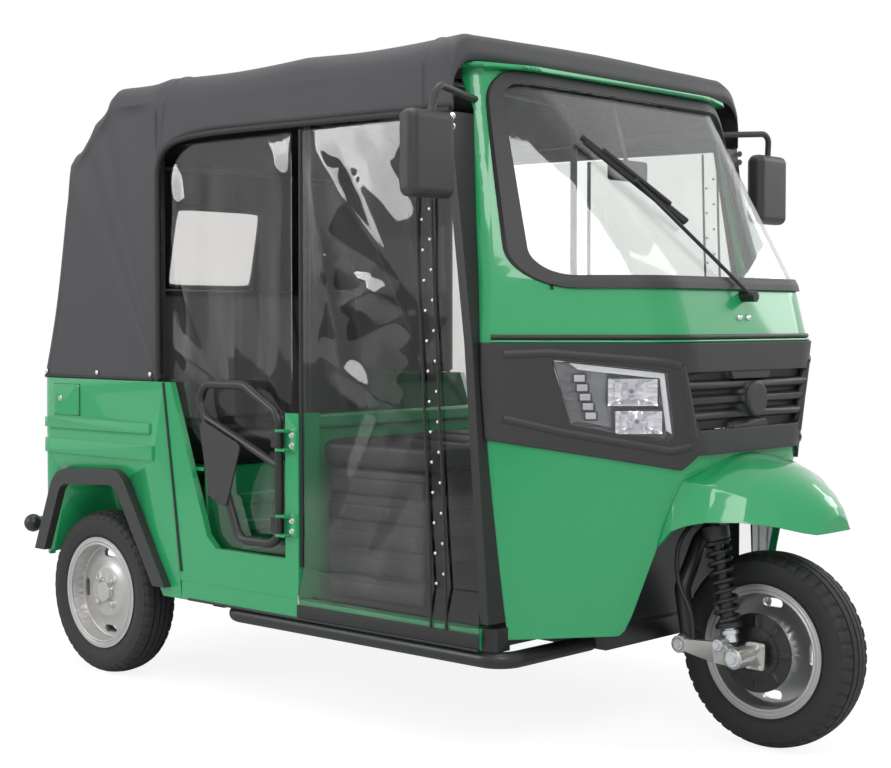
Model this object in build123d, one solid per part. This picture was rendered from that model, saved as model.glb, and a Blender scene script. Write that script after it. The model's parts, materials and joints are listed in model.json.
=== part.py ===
"""Auto rickshaw: a three-wheeled passenger taxi with a soft hood, as separate parts in one frame.

Millimetres. +X forward, +Y left, +Z up, ground at z = 0, origin under the middle of the length.
"""
import math
import os
from collections import namedtuple

from build123d import *

# Runs along the body, front to back
NOSE_RUN = 475.0
CAB_LENGTH = 634.0
BAY_LENGTH = 398.0
SEAT_RUN = 483.0
TAIL_RUN = 310.0
BUMPER_RUN = 100.0

# Widths
TRACK = 1170.0
BODY_HALF = 640.0
WALL = 20.0

# Wheels
TYRE_RADIUS = 250.0
TYRE_WIDTH = 118.0
BEAD_RADIUS = 153.0
FLANGE_RADIUS = 170.0
AXLE_RADIUS = 12.0
HUB_Y = TRACK / 2
HOUSE_GAP = 44.0

# Heights
CHASSIS_Z = 240.0
FLOOR_Z = 300.0
FLOOR_TOP = FLOOR_Z + 18.0
SILL_Z = 276.0
SILL_TOP = 330.0
WAIST_Z = 905.0
PILLAR_TOP = 834.0
DECK_Z = 652.0
MASK_TOP = 1030.0
HEADER_TOP = 1728.0
VALANCE_Z = HEADER_TOP - 118.0

# Stations along the body, from the middle of the length
WHEELBASE = NOSE_RUN + CAB_LENGTH + BAY_LENGTH + SEAT_RUN
LENGTH = TYRE_RADIUS + WHEELBASE + TAIL_RUN + BUMPER_RUN
FRONT_AXLE_X = LENGTH / 2 - TYRE_RADIUS
A_POST_X = FRONT_AXLE_X - NOSE_RUN
B_POST_X = A_POST_X - CAB_LENGTH
BULKHEAD_X = B_POST_X - BAY_LENGTH
REAR_AXLE_X = BULKHEAD_X - SEAT_RUN
TUB_REAR_X = REAR_AXLE_X - TAIL_RUN
TOE_X = FRONT_AXLE_X - 305.0
RAIL_Y = 245.0
RAIL_W = 50.0

# Steering: an axis leaning back, given by its place at axle height
STEER_RAKE = 18.0
STEER_X = FRONT_AXLE_X - 30.0
BAR_Z = MASK_TOP - 16.0

# Front body, bottom to top: nose and knee ahead of the A-post, and how far each lies inside the body's side
FrontRow = namedtuple("FrontRow", "z nose nose_in knee knee_in")
FRONT_ROWS = (
    FrontRow(FLOOR_Z, 260.0, 310.0, 55.0, 40.0),
    FrontRow(720.0, 400.0, 395.0, 40.0, 28.0),
    FrontRow(MASK_TOP, 400.0, 318.0, 34.0, 28.0),
    FrontRow(MASK_TOP + 150.0, 355.0, 310.0, 22.0, 46.0),
    FrontRow(HEADER_TOP - 28.0, -2.0, 250.0, -60.0, 88.0),
    FrontRow(HEADER_TOP, -18.0, 250.0, -68.0, 92.0),
)
FRONT_BACK = 140.0
NOSE_ROUND, KNEE_ROUND = 170.0, 60.0
MASK_PROUD = 10.0


def slab_x(face, x0, x1):
    """Solid from a (y, z) outline between two x planes."""
    return extrude(Plane((x0, 0, 0), x_dir=(0, 1, 0), z_dir=(1, 0, 0)) * face, amount=x1 - x0)


def slab_y(face, y0, y1):
    """Solid from an (x, z) outline between two y planes."""
    return extrude(Plane((0, y1, 0), x_dir=(1, 0, 0), z_dir=(0, -1, 0)) * face, amount=y1 - y0)


def slab_z(face, z0, z1):
    """Solid from an (x, y) outline between two z planes."""
    return extrude(Plane.XY.offset(z0) * face, amount=z1 - z0)


def outline(points, radius=0.0):
    """Closed face through points, its corners rounded."""
    face = make_face(Polyline(*points, close=True))
    return fillet(face.vertices(), radius) if radius else face


def block(x0, x1, y0, y1, z0, z1):
    return Pos((x0 + x1) / 2, (y0 + y1) / 2, (z0 + z1) / 2) * Box(x1 - x0, y1 - y0, z1 - z0)


def rod(p, q, radius):
    """Round bar from p to q."""
    axis = Vector(*q) - Vector(*p)
    return extrude(Plane(p, z_dir=axis) * Circle(radius), amount=axis.length)


def tube(points, radius, bend, close=False):
    """Round tube through points, its corners bent."""
    path = FilletPolyline(*points, radius=bend, close=close)
    return sweep(Plane(path @ 0, z_dir=path % 0) * Circle(radius), path=path)


def left(shape):
    return mirror(shape, about=Plane.XZ)


def pair(shape):
    """A right-hand shape and its left-hand copy."""
    return Part() + shape + left(shape)


def pushed(points, d):
    """Open chain of 2-D points moved d to the right of its direction."""
    normals = []
    for p, q in zip(points, points[1:]):
        run = math.hypot(q[0] - p[0], q[1] - p[1])
        normals.append(((q[1] - p[1]) / run, (p[0] - q[0]) / run))
    chain = []
    for i, p in enumerate(points):
        a = normals[max(i - 1, 0)]
        b = normals[min(i, len(normals) - 1)]
        k = d / (1 + a[0] * b[0] + a[1] * b[1])
        chain.append((p[0] + k * (a[0] + b[0]), p[1] + k * (a[1] + b[1])))
    return chain


def steer_point(z, along_y=0.0):
    """Point of the steering axis at height z."""
    return (STEER_X - (z - TYRE_RADIUS) * math.tan(math.radians(STEER_RAKE)), along_y, z)


# Front body shell
def front_row(z):
    """Row of the front body at any height, between or beyond the given ones."""
    i = 0
    while i < len(FRONT_ROWS) - 2 and z > FRONT_ROWS[i + 1].z:
        i += 1
    a, b = FRONT_ROWS[i], FRONT_ROWS[i + 1]
    t = (z - a.z) / (b.z - a.z)
    return FrontRow(*(p + t * (q - p) for p, q in zip(a, b)))


def front_section(z, d, back=FRONT_BACK):
    row = front_row(z)
    x = A_POST_X
    knee_y, nose_y = BODY_HALF - row.knee_in, BODY_HALF - row.nose_in
    half = [(x - back, -knee_y - 6), (x + row.knee, -knee_y), (x + row.nose, -nose_y),
            (x + row.nose, nose_y)]
    half = pushed(half, d)[:3]
    half[0] = (x - back, half[0][1])
    face = make_face(Polyline(*half, *[(px, -py) for px, py in reversed(half)], close=True))
    ahead = sorted((v for v in face.vertices() if v.X > x - back + 1), key=lambda v: v.X)
    face = fillet(ahead[2:], NOSE_ROUND)
    knees = [v for v in face.vertices() if abs(v.X - half[1][0]) < 0.01]
    return Pos(0, 0, z) * fillet(knees, KNEE_ROUND)


def front_solid(z0, z1, d, back=FRONT_BACK):
    levels = [z0] + [row.z for row in FRONT_ROWS if z0 + 1 < row.z < z1 - 1] + [z1]
    return loft([front_section(z, d, back) for z in levels], ruled=True)


def front_shell(z0, z1, outer, inner):
    return front_solid(z0, z1, outer) - front_solid(z0 - 4, z1 + 4, inner, FRONT_BACK + 20)


def mask_edge(z_far):
    """(y, z) region between the mask's lower edge and a far level."""
    y = -BODY_HALF
    edge = [(y - 60, 813), (y + 30, 793), (y + 368, 717), (y + 408, 752)]
    return outline(edge + [(-y, z) for y, z in reversed(edge)] + [(60 - y, z_far), (y - 60, z_far)])


LAMP = ((124.0, 991.0), (312.0, 960.0), (346.0, 802.0), (334.0, 786.0), (162.0, 832.0))
Bowl = namedtuple("Bowl", "ahead inside z radius")
BOWLS = (Bowl(302.0, 260.0, 908.0, 40.0), Bowl(318.0, 272.0, 832.0, 38.0))
GRILLE = ((350.0, 958.0), (406.0, 813.0))
SLAT_ZS = (848.0, 886.0, 924.0)
SCREEN_LOW, SCREEN_HIGH = (78.0, MASK_TOP + 134.0), (120.0, HEADER_TOP - 14.0)
SCREEN_ROUND, GASKET_W = 95.0, 32.0


def lamp_prism(inset):
    face = outline([(inside - BODY_HALF, z) for inside, z in LAMP], 7)
    return slab_x(offset(face, -inset) if inset else face, A_POST_X, A_POST_X + 600)


def grille_prism(inset):
    (y1, z1), (y0, z0) = [(inside - BODY_HALF, z) for inside, z in GRILLE]
    face = outline([(y1, z1), (y0, z0), (-y0, z0), (-y1, z1)], 14)
    return slab_x(offset(face, -inset) if inset else face, A_POST_X + 200, A_POST_X + 600)


def screen_prism(inset):
    (y0, z0), (y1, z1) = [(inside - BODY_HALF, z) for inside, z in (SCREEN_LOW, SCREEN_HIGH)]
    face = outline([(y0, z0), (-y0, z0), (-y1, z1), (y1, z1)], SCREEN_ROUND)
    return slab_x(offset(face, -inset) if inset else face, A_POST_X - 80, A_POST_X + 600)


POST_LEAN_LOW, POST_LEAN_HIGH = 58.0 / 750.0, 98.0 / 770.0
HEADER_BACK_X = A_POST_X - 92.0


def post_x(z):
    """Rear edge of the A-post, leaning back all the way up."""
    lean = POST_LEAN_LOW if z < MASK_TOP else POST_LEAN_HIGH
    return A_POST_X + 20 - lean * (z - MASK_TOP)


def post_line(*levels):
    return [(post_x(z), z) for z in levels]


def a_post_cut():
    """Everything behind the slanted A-post edge."""
    back = A_POST_X - 240
    return slab_y(outline([(back, 200)] + post_line(200, MASK_TOP, HEADER_TOP + 72)
                          + [(back, HEADER_TOP + 72)]), -900, 900)


def header_cut():
    """Behind the A-posts, below the header that carries the hood."""
    back = A_POST_X - 240
    return slab_y(outline([(back, 200)] + post_line(200, MASK_TOP, VALANCE_Z)
                          + [(HEADER_BACK_X, HEADER_TOP - 38), (HEADER_BACK_X, HEADER_TOP + 72),
                             (back, HEADER_TOP + 72)]), -900, 900)


def front_cowl():
    shell = front_solid(MASK_TOP, HEADER_TOP, 0)
    shell -= front_solid(MASK_TOP - 4, HEADER_TOP - 14, -WALL, FRONT_BACK + 20)
    visor = front_solid(HEADER_TOP - 12, HEADER_TOP, 26) - front_solid(HEADER_TOP - 18, HEADER_TOP + 4, -2)
    visor -= block(A_POST_X - 600, HEADER_BACK_X - 2, -900, 900, VALANCE_Z - 10, HEADER_TOP + 72)
    shell = shell - screen_prism(0) - header_cut() + visor
    return shell - (hood_volume(-0.5) - hood_volume(HOOD_T + 0.5))


def front_apron():
    shell = front_shell(FLOOR_Z, 830, 0, -WALL) - a_post_cut()
    shell -= slab_x(mask_edge(900), A_POST_X - 100, A_POST_X + 600)
    half = [(-352, 290), (-330, 312), (-318, 350), (-262, 668)]
    wheel = outline(half + [(-y, z) for y, z in reversed(half)])
    return shell - slab_x(wheel, TOE_X - 40, FRONT_AXLE_X + 200)


MudguardRow = namedtuple("MudguardRow", "ahead low_y low_z crease_y crease_z crest_z")
MUDGUARD_ROWS = (
    MudguardRow(-165.0, 290.0, 512.0, 266.0, 692.0, 758.0),
    MudguardRow(-115.0, 287.0, 566.0, 260.0, 690.0, 752.0),
    MudguardRow(-75.0, 280.0, 582.0, 250.0, 684.0, 748.0),
    MudguardRow(-30.0, 266.0, 592.0, 236.0, 676.0, 742.0),
    MudguardRow(45.0, 220.0, 594.0, 192.0, 652.0, 718.0),
    MudguardRow(110.0, 158.0, 582.0, 134.0, 622.0, 682.0),
    MudguardRow(150.0, 112.0, 568.0, 94.0, 600.0, 650.0),
    MudguardRow(172.0, 82.0, 562.0, 68.0, 584.0, 626.0),
    MudguardRow(184.0, 58.0, 564.0, 46.0, 580.0, 604.0),
)


def mudguard_section(row, d, drop):
    """(y, z) outline with straight flanks and an arched top."""
    low = row.low_z - drop
    a, b, top = (row.low_y - d, low), (row.crease_y - d, row.crease_z - d), row.crest_z - d
    edges = Line((-a[0], low), (-b[0], b[1])) + ThreePointArc((-b[0], b[1]), (0, top), b)
    edges += Line(b, a) + Line(a, (-a[0], low))
    return Plane((FRONT_AXLE_X + row.ahead, 0, 0), x_dir=(0, 1, 0), z_dir=(1, 0, 0)) * make_face(edges)


def front_mudguard():
    outer = loft([mudguard_section(row, 0, 0) for row in MUDGUARD_ROWS], ruled=True)
    tail = MUDGUARD_ROWS[0]._replace(ahead=MUDGUARD_ROWS[0].ahead - 20)
    tip = MUDGUARD_ROWS[-1]._replace(ahead=MUDGUARD_ROWS[-1].ahead - 7)
    rows = (tail,) + MUDGUARD_ROWS[1:-1] + (tip,)
    shell = outer - loft([mudguard_section(row, 7, 30) for row in rows], ruled=True)
    return shell - front_solid(FLOOR_Z, 900, 0.3, FRONT_BACK + 40)


def toe_board():
    """Wall between the driver's feet and the front wheel, with a shelf over the wheel."""
    wall = block(TOE_X, TOE_X + 12, -300, 300, FLOOR_TOP, 652)
    shelf = block(TOE_X, FRONT_AXLE_X - 172, -262, 262, 640, 652)
    return wall + shelf - block(TOE_X - 1, FRONT_AXLE_X, -64, 64, 600, 700)


def nose_mask():
    shell = front_shell(690, MASK_TOP, MASK_PROUD, -12)
    shell &= slab_x(mask_edge(1100), A_POST_X + 30, A_POST_X + 600)
    shell -= Pos(3, 0, 0) * a_post_cut()
    return shell - lamp_prism(0) - left(lamp_prism(0)) - grille_prism(0)


def headlamp_lenses():
    depth = front_solid(760, MASK_TOP, MASK_PROUD - 2) - front_solid(750, MASK_TOP + 4, MASK_PROUD - 6)
    return pair(lamp_prism(0.4) & depth)


def headlamp_housings():
    depth = front_solid(760, MASK_TOP, MASK_PROUD - 6.3) - front_solid(750, MASK_TOP + 4, -60)
    shape = lamp_prism(0.4) & depth
    for bowl in BOWLS:
        shape -= Pos(A_POST_X + bowl.ahead, bowl.inside - BODY_HALF, bowl.z) * Sphere(bowl.radius)
    return pair(shape)


def grille():
    """Recessed slats behind a plain round disc."""
    x = A_POST_X + FRONT_ROWS[1].nose
    back = grille_prism(0.4) & block(x - 30, x - 18, -400, 400, 700, 1000)
    for z in SLAT_ZS:
        slat = outline([(x - 18, z - 13), (x - 18, z + 13), (x + 4, z + 7), (x + 4, z - 7)])
        back += grille_prism(0.4) & slab_y(slat, -400, 400)
    for rim_z, inner_z, wide in ((960, 938, 96), (810, 832, 84)):
        notch = outline([(-wide, rim_z), (wide, rim_z), (wide - 14, inner_z), (14 - wide, inner_z)])
        back += grille_prism(0.4) & slab_x(notch, x - 18, x + 7)
    boss = slab_x(Pos(0, 886) * Circle(46), x - 18, x + 30)
    return back + fillet(boss.edges().sort_by(Axis.X)[-1], 9)


def windscreen_gasket():
    ring = screen_prism(0.3) - screen_prism(GASKET_W)
    low, high = MASK_TOP + 70, HEADER_TOP + 12
    return ring & (front_solid(low, high, 9) - front_solid(low - 10, high + 10, -12))


def windscreen_glass():
    low, high = MASK_TOP + 70, HEADER_TOP + 12
    return screen_prism(GASKET_W + 0.3) & (front_solid(low, high, -1) - front_solid(low - 10, high + 10, -6))


def wiper():
    """Arm from a pivot under the glass to a blade lying along it."""
    slope = (FRONT_ROWS[4].nose - FRONT_ROWS[3].nose) / (FRONT_ROWS[4].z - FRONT_ROWS[3].z)

    low, high = SCREEN_LOW[1], SCREEN_HIGH[1]

    def on_glass(y, up, proud):
        z = low + up * (high - low)
        return (A_POST_X + FRONT_ROWS[3].nose + slope * (z - FRONT_ROWS[3].z) + proud, y, z)

    base, joint, tip, heel = (18, -0.032), (-220, 0.498), (-340, 0.670), (-95, 0.312)
    shape = rod(on_glass(*base, -40), on_glass(*base, 30), 14) - front_solid(MASK_TOP, HEADER_TOP, 0)
    shape += rod(on_glass(*base, 18), on_glass(*joint, 24), 5)
    shape += rod(on_glass(*tip, 16), on_glass(*heel, 16), 7)
    return shape + rod(on_glass(*joint, 14), on_glass(*joint, 30), 7)


SEAL_W = 26.0


def post_seals():
    """Black strips where the front curtains close on the A-posts."""
    edge = post_line(VALANCE_Z - 12, MASK_TOP, 345)
    strip = outline(edge + [(x - SEAL_W, z) for x, z in reversed(edge)])
    bar = slab_y(strip, -BODY_HALF, -BODY_HALF + 190)
    return pair(bar - front_solid(FLOOR_Z, HEADER_TOP + 12, 6 - WALL, FRONT_BACK + 40))


MIRROR_AT = (A_POST_X - 20, BODY_HALF + 118.0, HEADER_TOP - 246.0)


def mirrors():
    """Driving mirrors on bent stalks."""
    x, y, z = MIRROR_AT
    shape = Pos(x, -y, z) * fillet(Box(56, 156, 208).edges(), 22)
    root = (A_POST_X - 60, -BODY_HALF + 110, z + 152)
    shape += tube([root, (x + 16, -y + 20, z + 168), (x, -y, z + 60)], 9, 30)
    return pair(shape - front_solid(MASK_TOP, HEADER_TOP, 0.5))


def inner_mirror():
    """Small mirror hung from the header."""
    x, y, z = A_POST_X + 20, -10, HEADER_TOP - 240
    head = fillet(block(x - 12, x + 12, y - 80, y + 80, z - 28, z + 28).edges(), 9)
    return head + rod((x, y, z + 10), (A_POST_X - 45, y, HEADER_TOP - 14), 6) - block(
        A_POST_X - 200, A_POST_X + 200, -200, 200, HEADER_TOP - 14, HEADER_TOP + 40)


def dashboard():
    """Shelf under the windscreen with an instrument pod."""
    x, y, z = A_POST_X + FRONT_ROWS[3].nose - WALL, BODY_HALF - 210, MASK_TOP + 94
    plan = outline([(x - 210, -y), (x - 210, y), (x - 90, y), (x + 4, y - 100), (x + 4, 100 - y),
                    (x - 90, -y)])
    return slab_z(plan, z, z + 26) & front_solid(z - 24, z + 56, -WALL, FRONT_BACK + 20)


# Chassis and floor
def chassis_frame():
    rail = block(TUB_REAR_X + 35, TOE_X - 20, -RAIL_Y - RAIL_W / 2, -RAIL_Y + RAIL_W / 2, CHASSIS_Z, FLOOR_Z)
    frame = rail + left(rail)
    for x in (TUB_REAR_X + 35, BULKHEAD_X - 130, B_POST_X, A_POST_X - 60, TOE_X - 70):
        frame += block(x, x + 50, -RAIL_Y, RAIL_Y, CHASSIS_Z, FLOOR_Z)
    for x in (BULKHEAD_X + 10, B_POST_X, A_POST_X - 60):
        frame += block(x, x + 50, -BODY_HALF + 44, BODY_HALF - 44, CHASSIS_Z + 20, FLOOR_Z)
    neck = outline([(TOE_X - 70, FLOOR_Z - 4), (TOE_X - 4, FLOOR_Z - 4), (TOE_X - 4, 640), (TOE_X + 60, 664),
                    (TOE_X + 138, 664), (TOE_X + 112, 752), (TOE_X, 752), (TOE_X - 70, 690)])
    frame += slab_y(neck, -30, 30)
    frame += rod(steer_point(612), steer_point(792), 34)
    x, y, z = REAR_AXLE_X, RAIL_Y + RAIL_W, TYRE_RADIUS
    frame -= rod((x, -y, z), (x, y, z), 24)
    return frame - rod(steer_point(560), steer_point(840), 25.4)


def floor_pan():
    front = front_row(FLOOR_TOP)
    edge = A_POST_X + front.knee - 14
    y, knee_y = BODY_HALF - 40, BODY_HALF - front.knee_in - 38
    plan = outline([(BULKHEAD_X, -y), (A_POST_X, -y), (edge, -knee_y), (TOE_X + 12, 205 - y),
                    (TOE_X + 12, y - 205), (edge, knee_y), (A_POST_X, y), (BULKHEAD_X, y)])
    return slab_z(plan, FLOOR_Z, FLOOR_TOP) - block(TOE_X - 71, TOE_X - 3, -31, 31, 0, 900)


def sills():
    y = BODY_HALF
    plan = outline([(REAR_AXLE_X + 406, -y), (A_POST_X, -y), (A_POST_X + 74, -y + 32),
                    (A_POST_X + 74, -y + 72), (A_POST_X, -y + 40), (REAR_AXLE_X + 406, -y + 40)])
    return pair(slab_z(plan, SILL_Z, SILL_TOP))


def side_steps():
    """Tube under each sill, its ends turned in to the chassis rails."""
    y, z = -BODY_HALF + 24, SILL_Z - 22
    ends = -RAIL_Y - RAIL_W / 2
    return pair(tube([(BULKHEAD_X + 100, ends, z), (BULKHEAD_X + 100, y, z), (A_POST_X + 96, y, z),
                      (A_POST_X + 96, ends, z)], 21, 60))


# Middle of the body
def entry_panels():
    """Lower side with a slanted door cut-out, and the B-pillar at its front."""
    x = B_POST_X
    panel = outline([(REAR_AXLE_X + 326, WAIST_Z), (REAR_AXLE_X + 357, WAIST_Z), (REAR_AXLE_X + 520, 470),
                     (REAR_AXLE_X + 560, 437), (x - 26, 437), (x - 26, PILLAR_TOP), (x + 26, PILLAR_TOP),
                     (x + 26, SILL_TOP), (REAR_AXLE_X + 399, SILL_TOP)])
    shape = slab_y(panel, -BODY_HALF, -BODY_HALF + WALL)
    shape += block(x - 26, x + 26, -BODY_HALF, -BODY_HALF + 80, SILL_TOP, PILLAR_TOP)
    for z in HINGE_ZS:
        shape += hinge_post(z)
    return pair(shape)


# Passenger half doors
HINGE_ZS = (761.0, 529.0)
HINGE_X = B_POST_X - 28.0
HINGE_Y = -BODY_HALF - 22.0
DOOR_TUBE = 12.7


def hinge_post(z):
    """Plate on the pillar with two lugs and a pin."""
    x = B_POST_X
    post = block(x - 20, x + 22, -BODY_HALF - 6, -BODY_HALF, z - 30, z + 30)
    for lug in (z - 26, z + 26):
        post += rod((HINGE_X, HINGE_Y, lug - 4), (HINGE_X, HINGE_Y, lug + 4), 10)
        post += block(HINGE_X, x, HINGE_Y - 5, -BODY_HALF, lug - 4, lug + 4)
    return post + rod((HINGE_X, HINGE_Y, z - 26), (HINGE_X, HINGE_Y, z + 26), 4)


def door_outline():
    x = B_POST_X - 50
    return [(x, 474), (x, 828), (x - 141, WAIST_Z), (x - 357, WAIST_Z), (x - 166, 474)]


def door_frame():
    loop = door_outline()
    shape = tube([(x, -BODY_HALF, z) for x, z in loop], DOOR_TUBE, 45, close=True)
    x = loop[0][0]
    shape += rod((x, -BODY_HALF, 687), (x - 316, -BODY_HALF, 812), DOOR_TUBE - 2)
    for z in HINGE_ZS:
        sleeve = rod((HINGE_X, HINGE_Y, z - 20), (HINGE_X, HINGE_Y, z + 20), 10)
        sleeve += block(x - 4, HINGE_X, HINGE_Y - 5, HINGE_Y + 3, z - 20, z + 20)
        sleeve += block(x - 4, x + 4, HINGE_Y - 5, -BODY_HALF, z - 20, z + 20)
        shape += sleeve - rod((HINGE_X, HINGE_Y, z - 24), (HINGE_X, HINGE_Y, z + 24), 4.5)
    return shape


def door_panel():
    """Plastic sheet on the outside of the lower rear half."""
    x = B_POST_X - 50
    face = outline([(x - 142, 738), (x - 322, 806), (x - 282, 590), (x - 206, 560)], 16)
    y = -BODY_HALF - DOOR_TUBE
    return slab_y(face, y - 5, y)


def partition():
    """Wall behind the driver with a rail on top."""
    y = BODY_HALF - 80
    wall = block(B_POST_X - 8, B_POST_X + 8, -y, y, FLOOR_TOP, PILLAR_TOP - 40)
    return wall + fillet(block(B_POST_X - 20, B_POST_X + 20, -y, y, PILLAR_TOP - 44, PILLAR_TOP - 4)
                         .edges().filter_by(Axis.Y), 9)


def driver_seat():
    """Ribbed moulded base and a cushion on it."""
    x, y, top = B_POST_X + 60, BODY_HALF - 80, FLOOR_TOP + 372
    shape = block(x, x + 360, -y, y, FLOOR_TOP, top)
    for rib in range(SEAT_RIBS):
        z = FLOOR_TOP + 46 + rib * 70
        shape += block(x + 6, x + 366, -y - 7, y + 7, z - 24, z + 24)
    return shape + fillet(block(x - 20, x + 390, -y - 15, y + 15, top, top + 85).edges(), 26)


SEAT_RIBS = 5


# Rear body
TUB_FRONT_TOP = REAR_AXLE_X + 325.0
TUB_FRONT_LOW = REAR_AXLE_X + 405.0
TUB_LOW = 357.0
ARCH = ((REAR_AXLE_X - 262, 340.0), (REAR_AXLE_X - 163, 575.0), (REAR_AXLE_X + 115, 590.0),
        (REAR_AXLE_X + 303, 300.0))


def arch(d, low):
    """Wheel arch outline grown by d, its legs carried down to a level."""
    a, b, c, e = pushed(ARCH, -d)
    foot_a = (a[0] + (low - a[1]) * (b[0] - a[0]) / (b[1] - a[1]), low)
    foot_e = (e[0] + (low - e[1]) * (c[0] - e[0]) / (c[1] - e[1]), low)
    face = make_face(Polyline(foot_a, b, c, foot_e, close=True))
    return fillet([v for v in face.vertices() if v.Y > low + 1], 45 + d)


def tub_plan(d, z0, z1):
    y = BODY_HALF + d
    x = TUB_REAR_X - d
    face = outline([(x, -y), (TUB_FRONT_LOW, -y), (TUB_FRONT_LOW, y), (x, y)])
    return slab_z(fillet([v for v in face.vertices() if v.X < x + 1], 60 + d), z0, z1)


def tub_side():
    """Side outline of the tub, open at the wheel."""
    side = outline([(TUB_REAR_X - 40, TUB_LOW), (TUB_REAR_X - 40, WAIST_Z), (TUB_FRONT_TOP, WAIST_Z),
                    (TUB_FRONT_LOW, SILL_Z), (REAR_AXLE_X + 250, SILL_Z)])
    return slab_y(side, -800, 800) - slab_y(arch(0, 200), -800, 800)


CORNER_Y = BODY_HALF - 95.0
Bead = namedtuple("Bead", "z height front")
BEADS = (Bead(765.0, 30.0, REAR_AXLE_X + 262), Bead(693.0, 44.0, REAR_AXLE_X + 276))


def rear_side_panels():
    """Tub sides with rounded rear corners, pressed beads, a filler lid and wheel houses."""
    shell = tub_plan(0, SILL_Z, WAIST_Z) - tub_plan(-WALL, SILL_Z - 2, WAIST_Z + 2)
    shell -= block(TUB_FRONT_LOW - WALL - 2, TUB_FRONT_LOW + 2, -BODY_HALF + WALL, BODY_HALF - WALL, 0, 2000)
    for bead in BEADS:
        z0, z1 = bead.z - bead.height / 2, bead.z + bead.height / 2
        band = tub_plan(7, z0, z1) - tub_plan(-2, z0 - 1, z1 + 1)
        shell += band & block(TUB_REAR_X - 50, bead.front, -800, 800, 0, 2000)
    shell &= tub_side()
    side = shell & block(TUB_REAR_X - 50, TUB_FRONT_LOW + 2, -800, -CORNER_Y, 0, 2000)
    y = -BODY_HALF
    back = -HUB_Y + TYRE_WIDTH / 2 + HOUSE_GAP
    house = slab_y(arch(12, SILL_Z), y + WALL - 1, back + 10)
    house -= slab_y(arch(0, SILL_Z - 20), y - 1, back)
    house &= block(TUB_REAR_X + 2, TUB_FRONT_LOW, -900, 0, TUB_LOW, 2000)
    house -= block(REAR_AXLE_X - 75, REAR_AXLE_X + 330, back - 8, back + 22, 0, 400)
    lid = outline([(TUB_REAR_X + 87, 791), (TUB_REAR_X + 219, 791), (TUB_REAR_X + 219, 887),
                   (TUB_REAR_X + 87, 887)], 12)
    return pair(side + house + slab_y(lid, y - 4, y + 2))


def wheel_flares():
    y = -BODY_HALF
    ring = slab_y(arch(48, TUB_LOW - 70), y - 26, y) - slab_y(arch(0, 200), y - 40, y + 10)
    low = outline([(TUB_REAR_X - 60, TUB_LOW + 6), (REAR_AXLE_X, TUB_LOW), (REAR_AXLE_X + 200, SILL_Z + 30),
                   (REAR_AXLE_X + 600, SILL_Z + 30), (REAR_AXLE_X + 600, 0), (TUB_REAR_X - 60, 0)])
    ring -= slab_y(low, y - 60, y + 20)
    return pair(ring)


DOOR_LOW, DOOR_TOP, DOOR_Y = 505.0, WAIST_Z - 53.0, BODY_HALF - 215.0
LID_X, LID_Z = TUB_REAR_X - 11.0, DOOR_TOP + 14.0


def rear_panel():
    """Back wall around the engine door."""
    shape = block(TUB_REAR_X, TUB_REAR_X + WALL, -CORNER_Y, CORNER_Y, TUB_LOW, WAIST_Z)
    y = DOOR_Y + 6
    shape -= block(TUB_REAR_X - 1, TUB_REAR_X + WALL + 1, -y, y, DOOR_LOW - 6, DOOR_TOP + 6)
    for y in (-300, 300):
        for end in (y - 34, y + 34):
            shape += rod((LID_X, end - 8, LID_Z), (LID_X, end + 8, LID_Z), 9)
            shape += block(LID_X, TUB_REAR_X, end - 8, end + 8, LID_Z - 6, LID_Z + 9)
        shape += rod((LID_X, y - 34, LID_Z), (LID_X, y + 34, LID_Z), 4)
    return shape


def engine_door():
    """Lifting door with louvres and a pad for a blank plate."""
    shape = block(TUB_REAR_X, TUB_REAR_X + WALL - 2, -DOOR_Y, DOOR_Y, DOOR_LOW, DOOR_TOP)
    for z in (790, 760, 730):
        shape -= block(TUB_REAR_X - 1, TUB_REAR_X + WALL, -300, 300, z - 5, z + 5)
    shape += block(TUB_REAR_X - 6, TUB_REAR_X, -130, 130, 545, 675)
    for y in (-PLATE_HOLES, PLATE_HOLES):
        shape -= rod((TUB_REAR_X - 7, y, 610), (TUB_REAR_X + WALL, y, 610), 3.5)
    for y in (-300, 300):
        leaf = rod((LID_X, y - 24, LID_Z), (LID_X, y + 24, LID_Z), 9)
        leaf += block(LID_X - 9, LID_X - 3, y - 24, y + 24, DOOR_TOP - 42, LID_Z)
        leaf += block(LID_X - 9, TUB_REAR_X, y - 24, y + 24, DOOR_TOP - 42, DOOR_TOP - 8)
        shape += leaf - rod((LID_X, y - 25, LID_Z), (LID_X, y + 25, LID_Z), 4.5)
    return shape


PLATE_HOLES = 85.0


def seat_bulkhead():
    """Wall in front of the engine and the deck over it."""
    y = BODY_HALF - WALL
    wall = block(BULKHEAD_X - 20, BULKHEAD_X, -y + 20, y - 20, FLOOR_Z, DECK_Z)
    for z in (400, 480, 560):
        wall += fillet(block(BULKHEAD_X - 4, BULKHEAD_X + 9, 140 - y, y - 140, z - 18, z + 18)
                       .edges().filter_by(Axis.Y).sort_by(Axis.X)[-2:], 7)
    plan = outline([(TUB_REAR_X + WALL, -CORNER_Y), (TUB_REAR_X + 80, -y), (BULKHEAD_X, -y), (BULKHEAD_X, y),
                    (TUB_REAR_X + 80, y), (TUB_REAR_X + WALL, CORNER_Y)])
    return wall + slab_z(plan, DECK_Z, DECK_Z + 10)


def passenger_seat():
    y = BODY_HALF - 85
    cushion = fillet(block(TUB_REAR_X + 325, BULKHEAD_X + 30, -y, y, DECK_Z + 10, DECK_Z + 130).edges(), 34)
    rest = fillet(Box(110, 2 * y, 530).edges(), 34)
    rest = Pos(TUB_REAR_X + 231, 0, DECK_Z + 275.8) * Rot(0, -9, 0) * rest
    return Part() + cushion + rest


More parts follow.
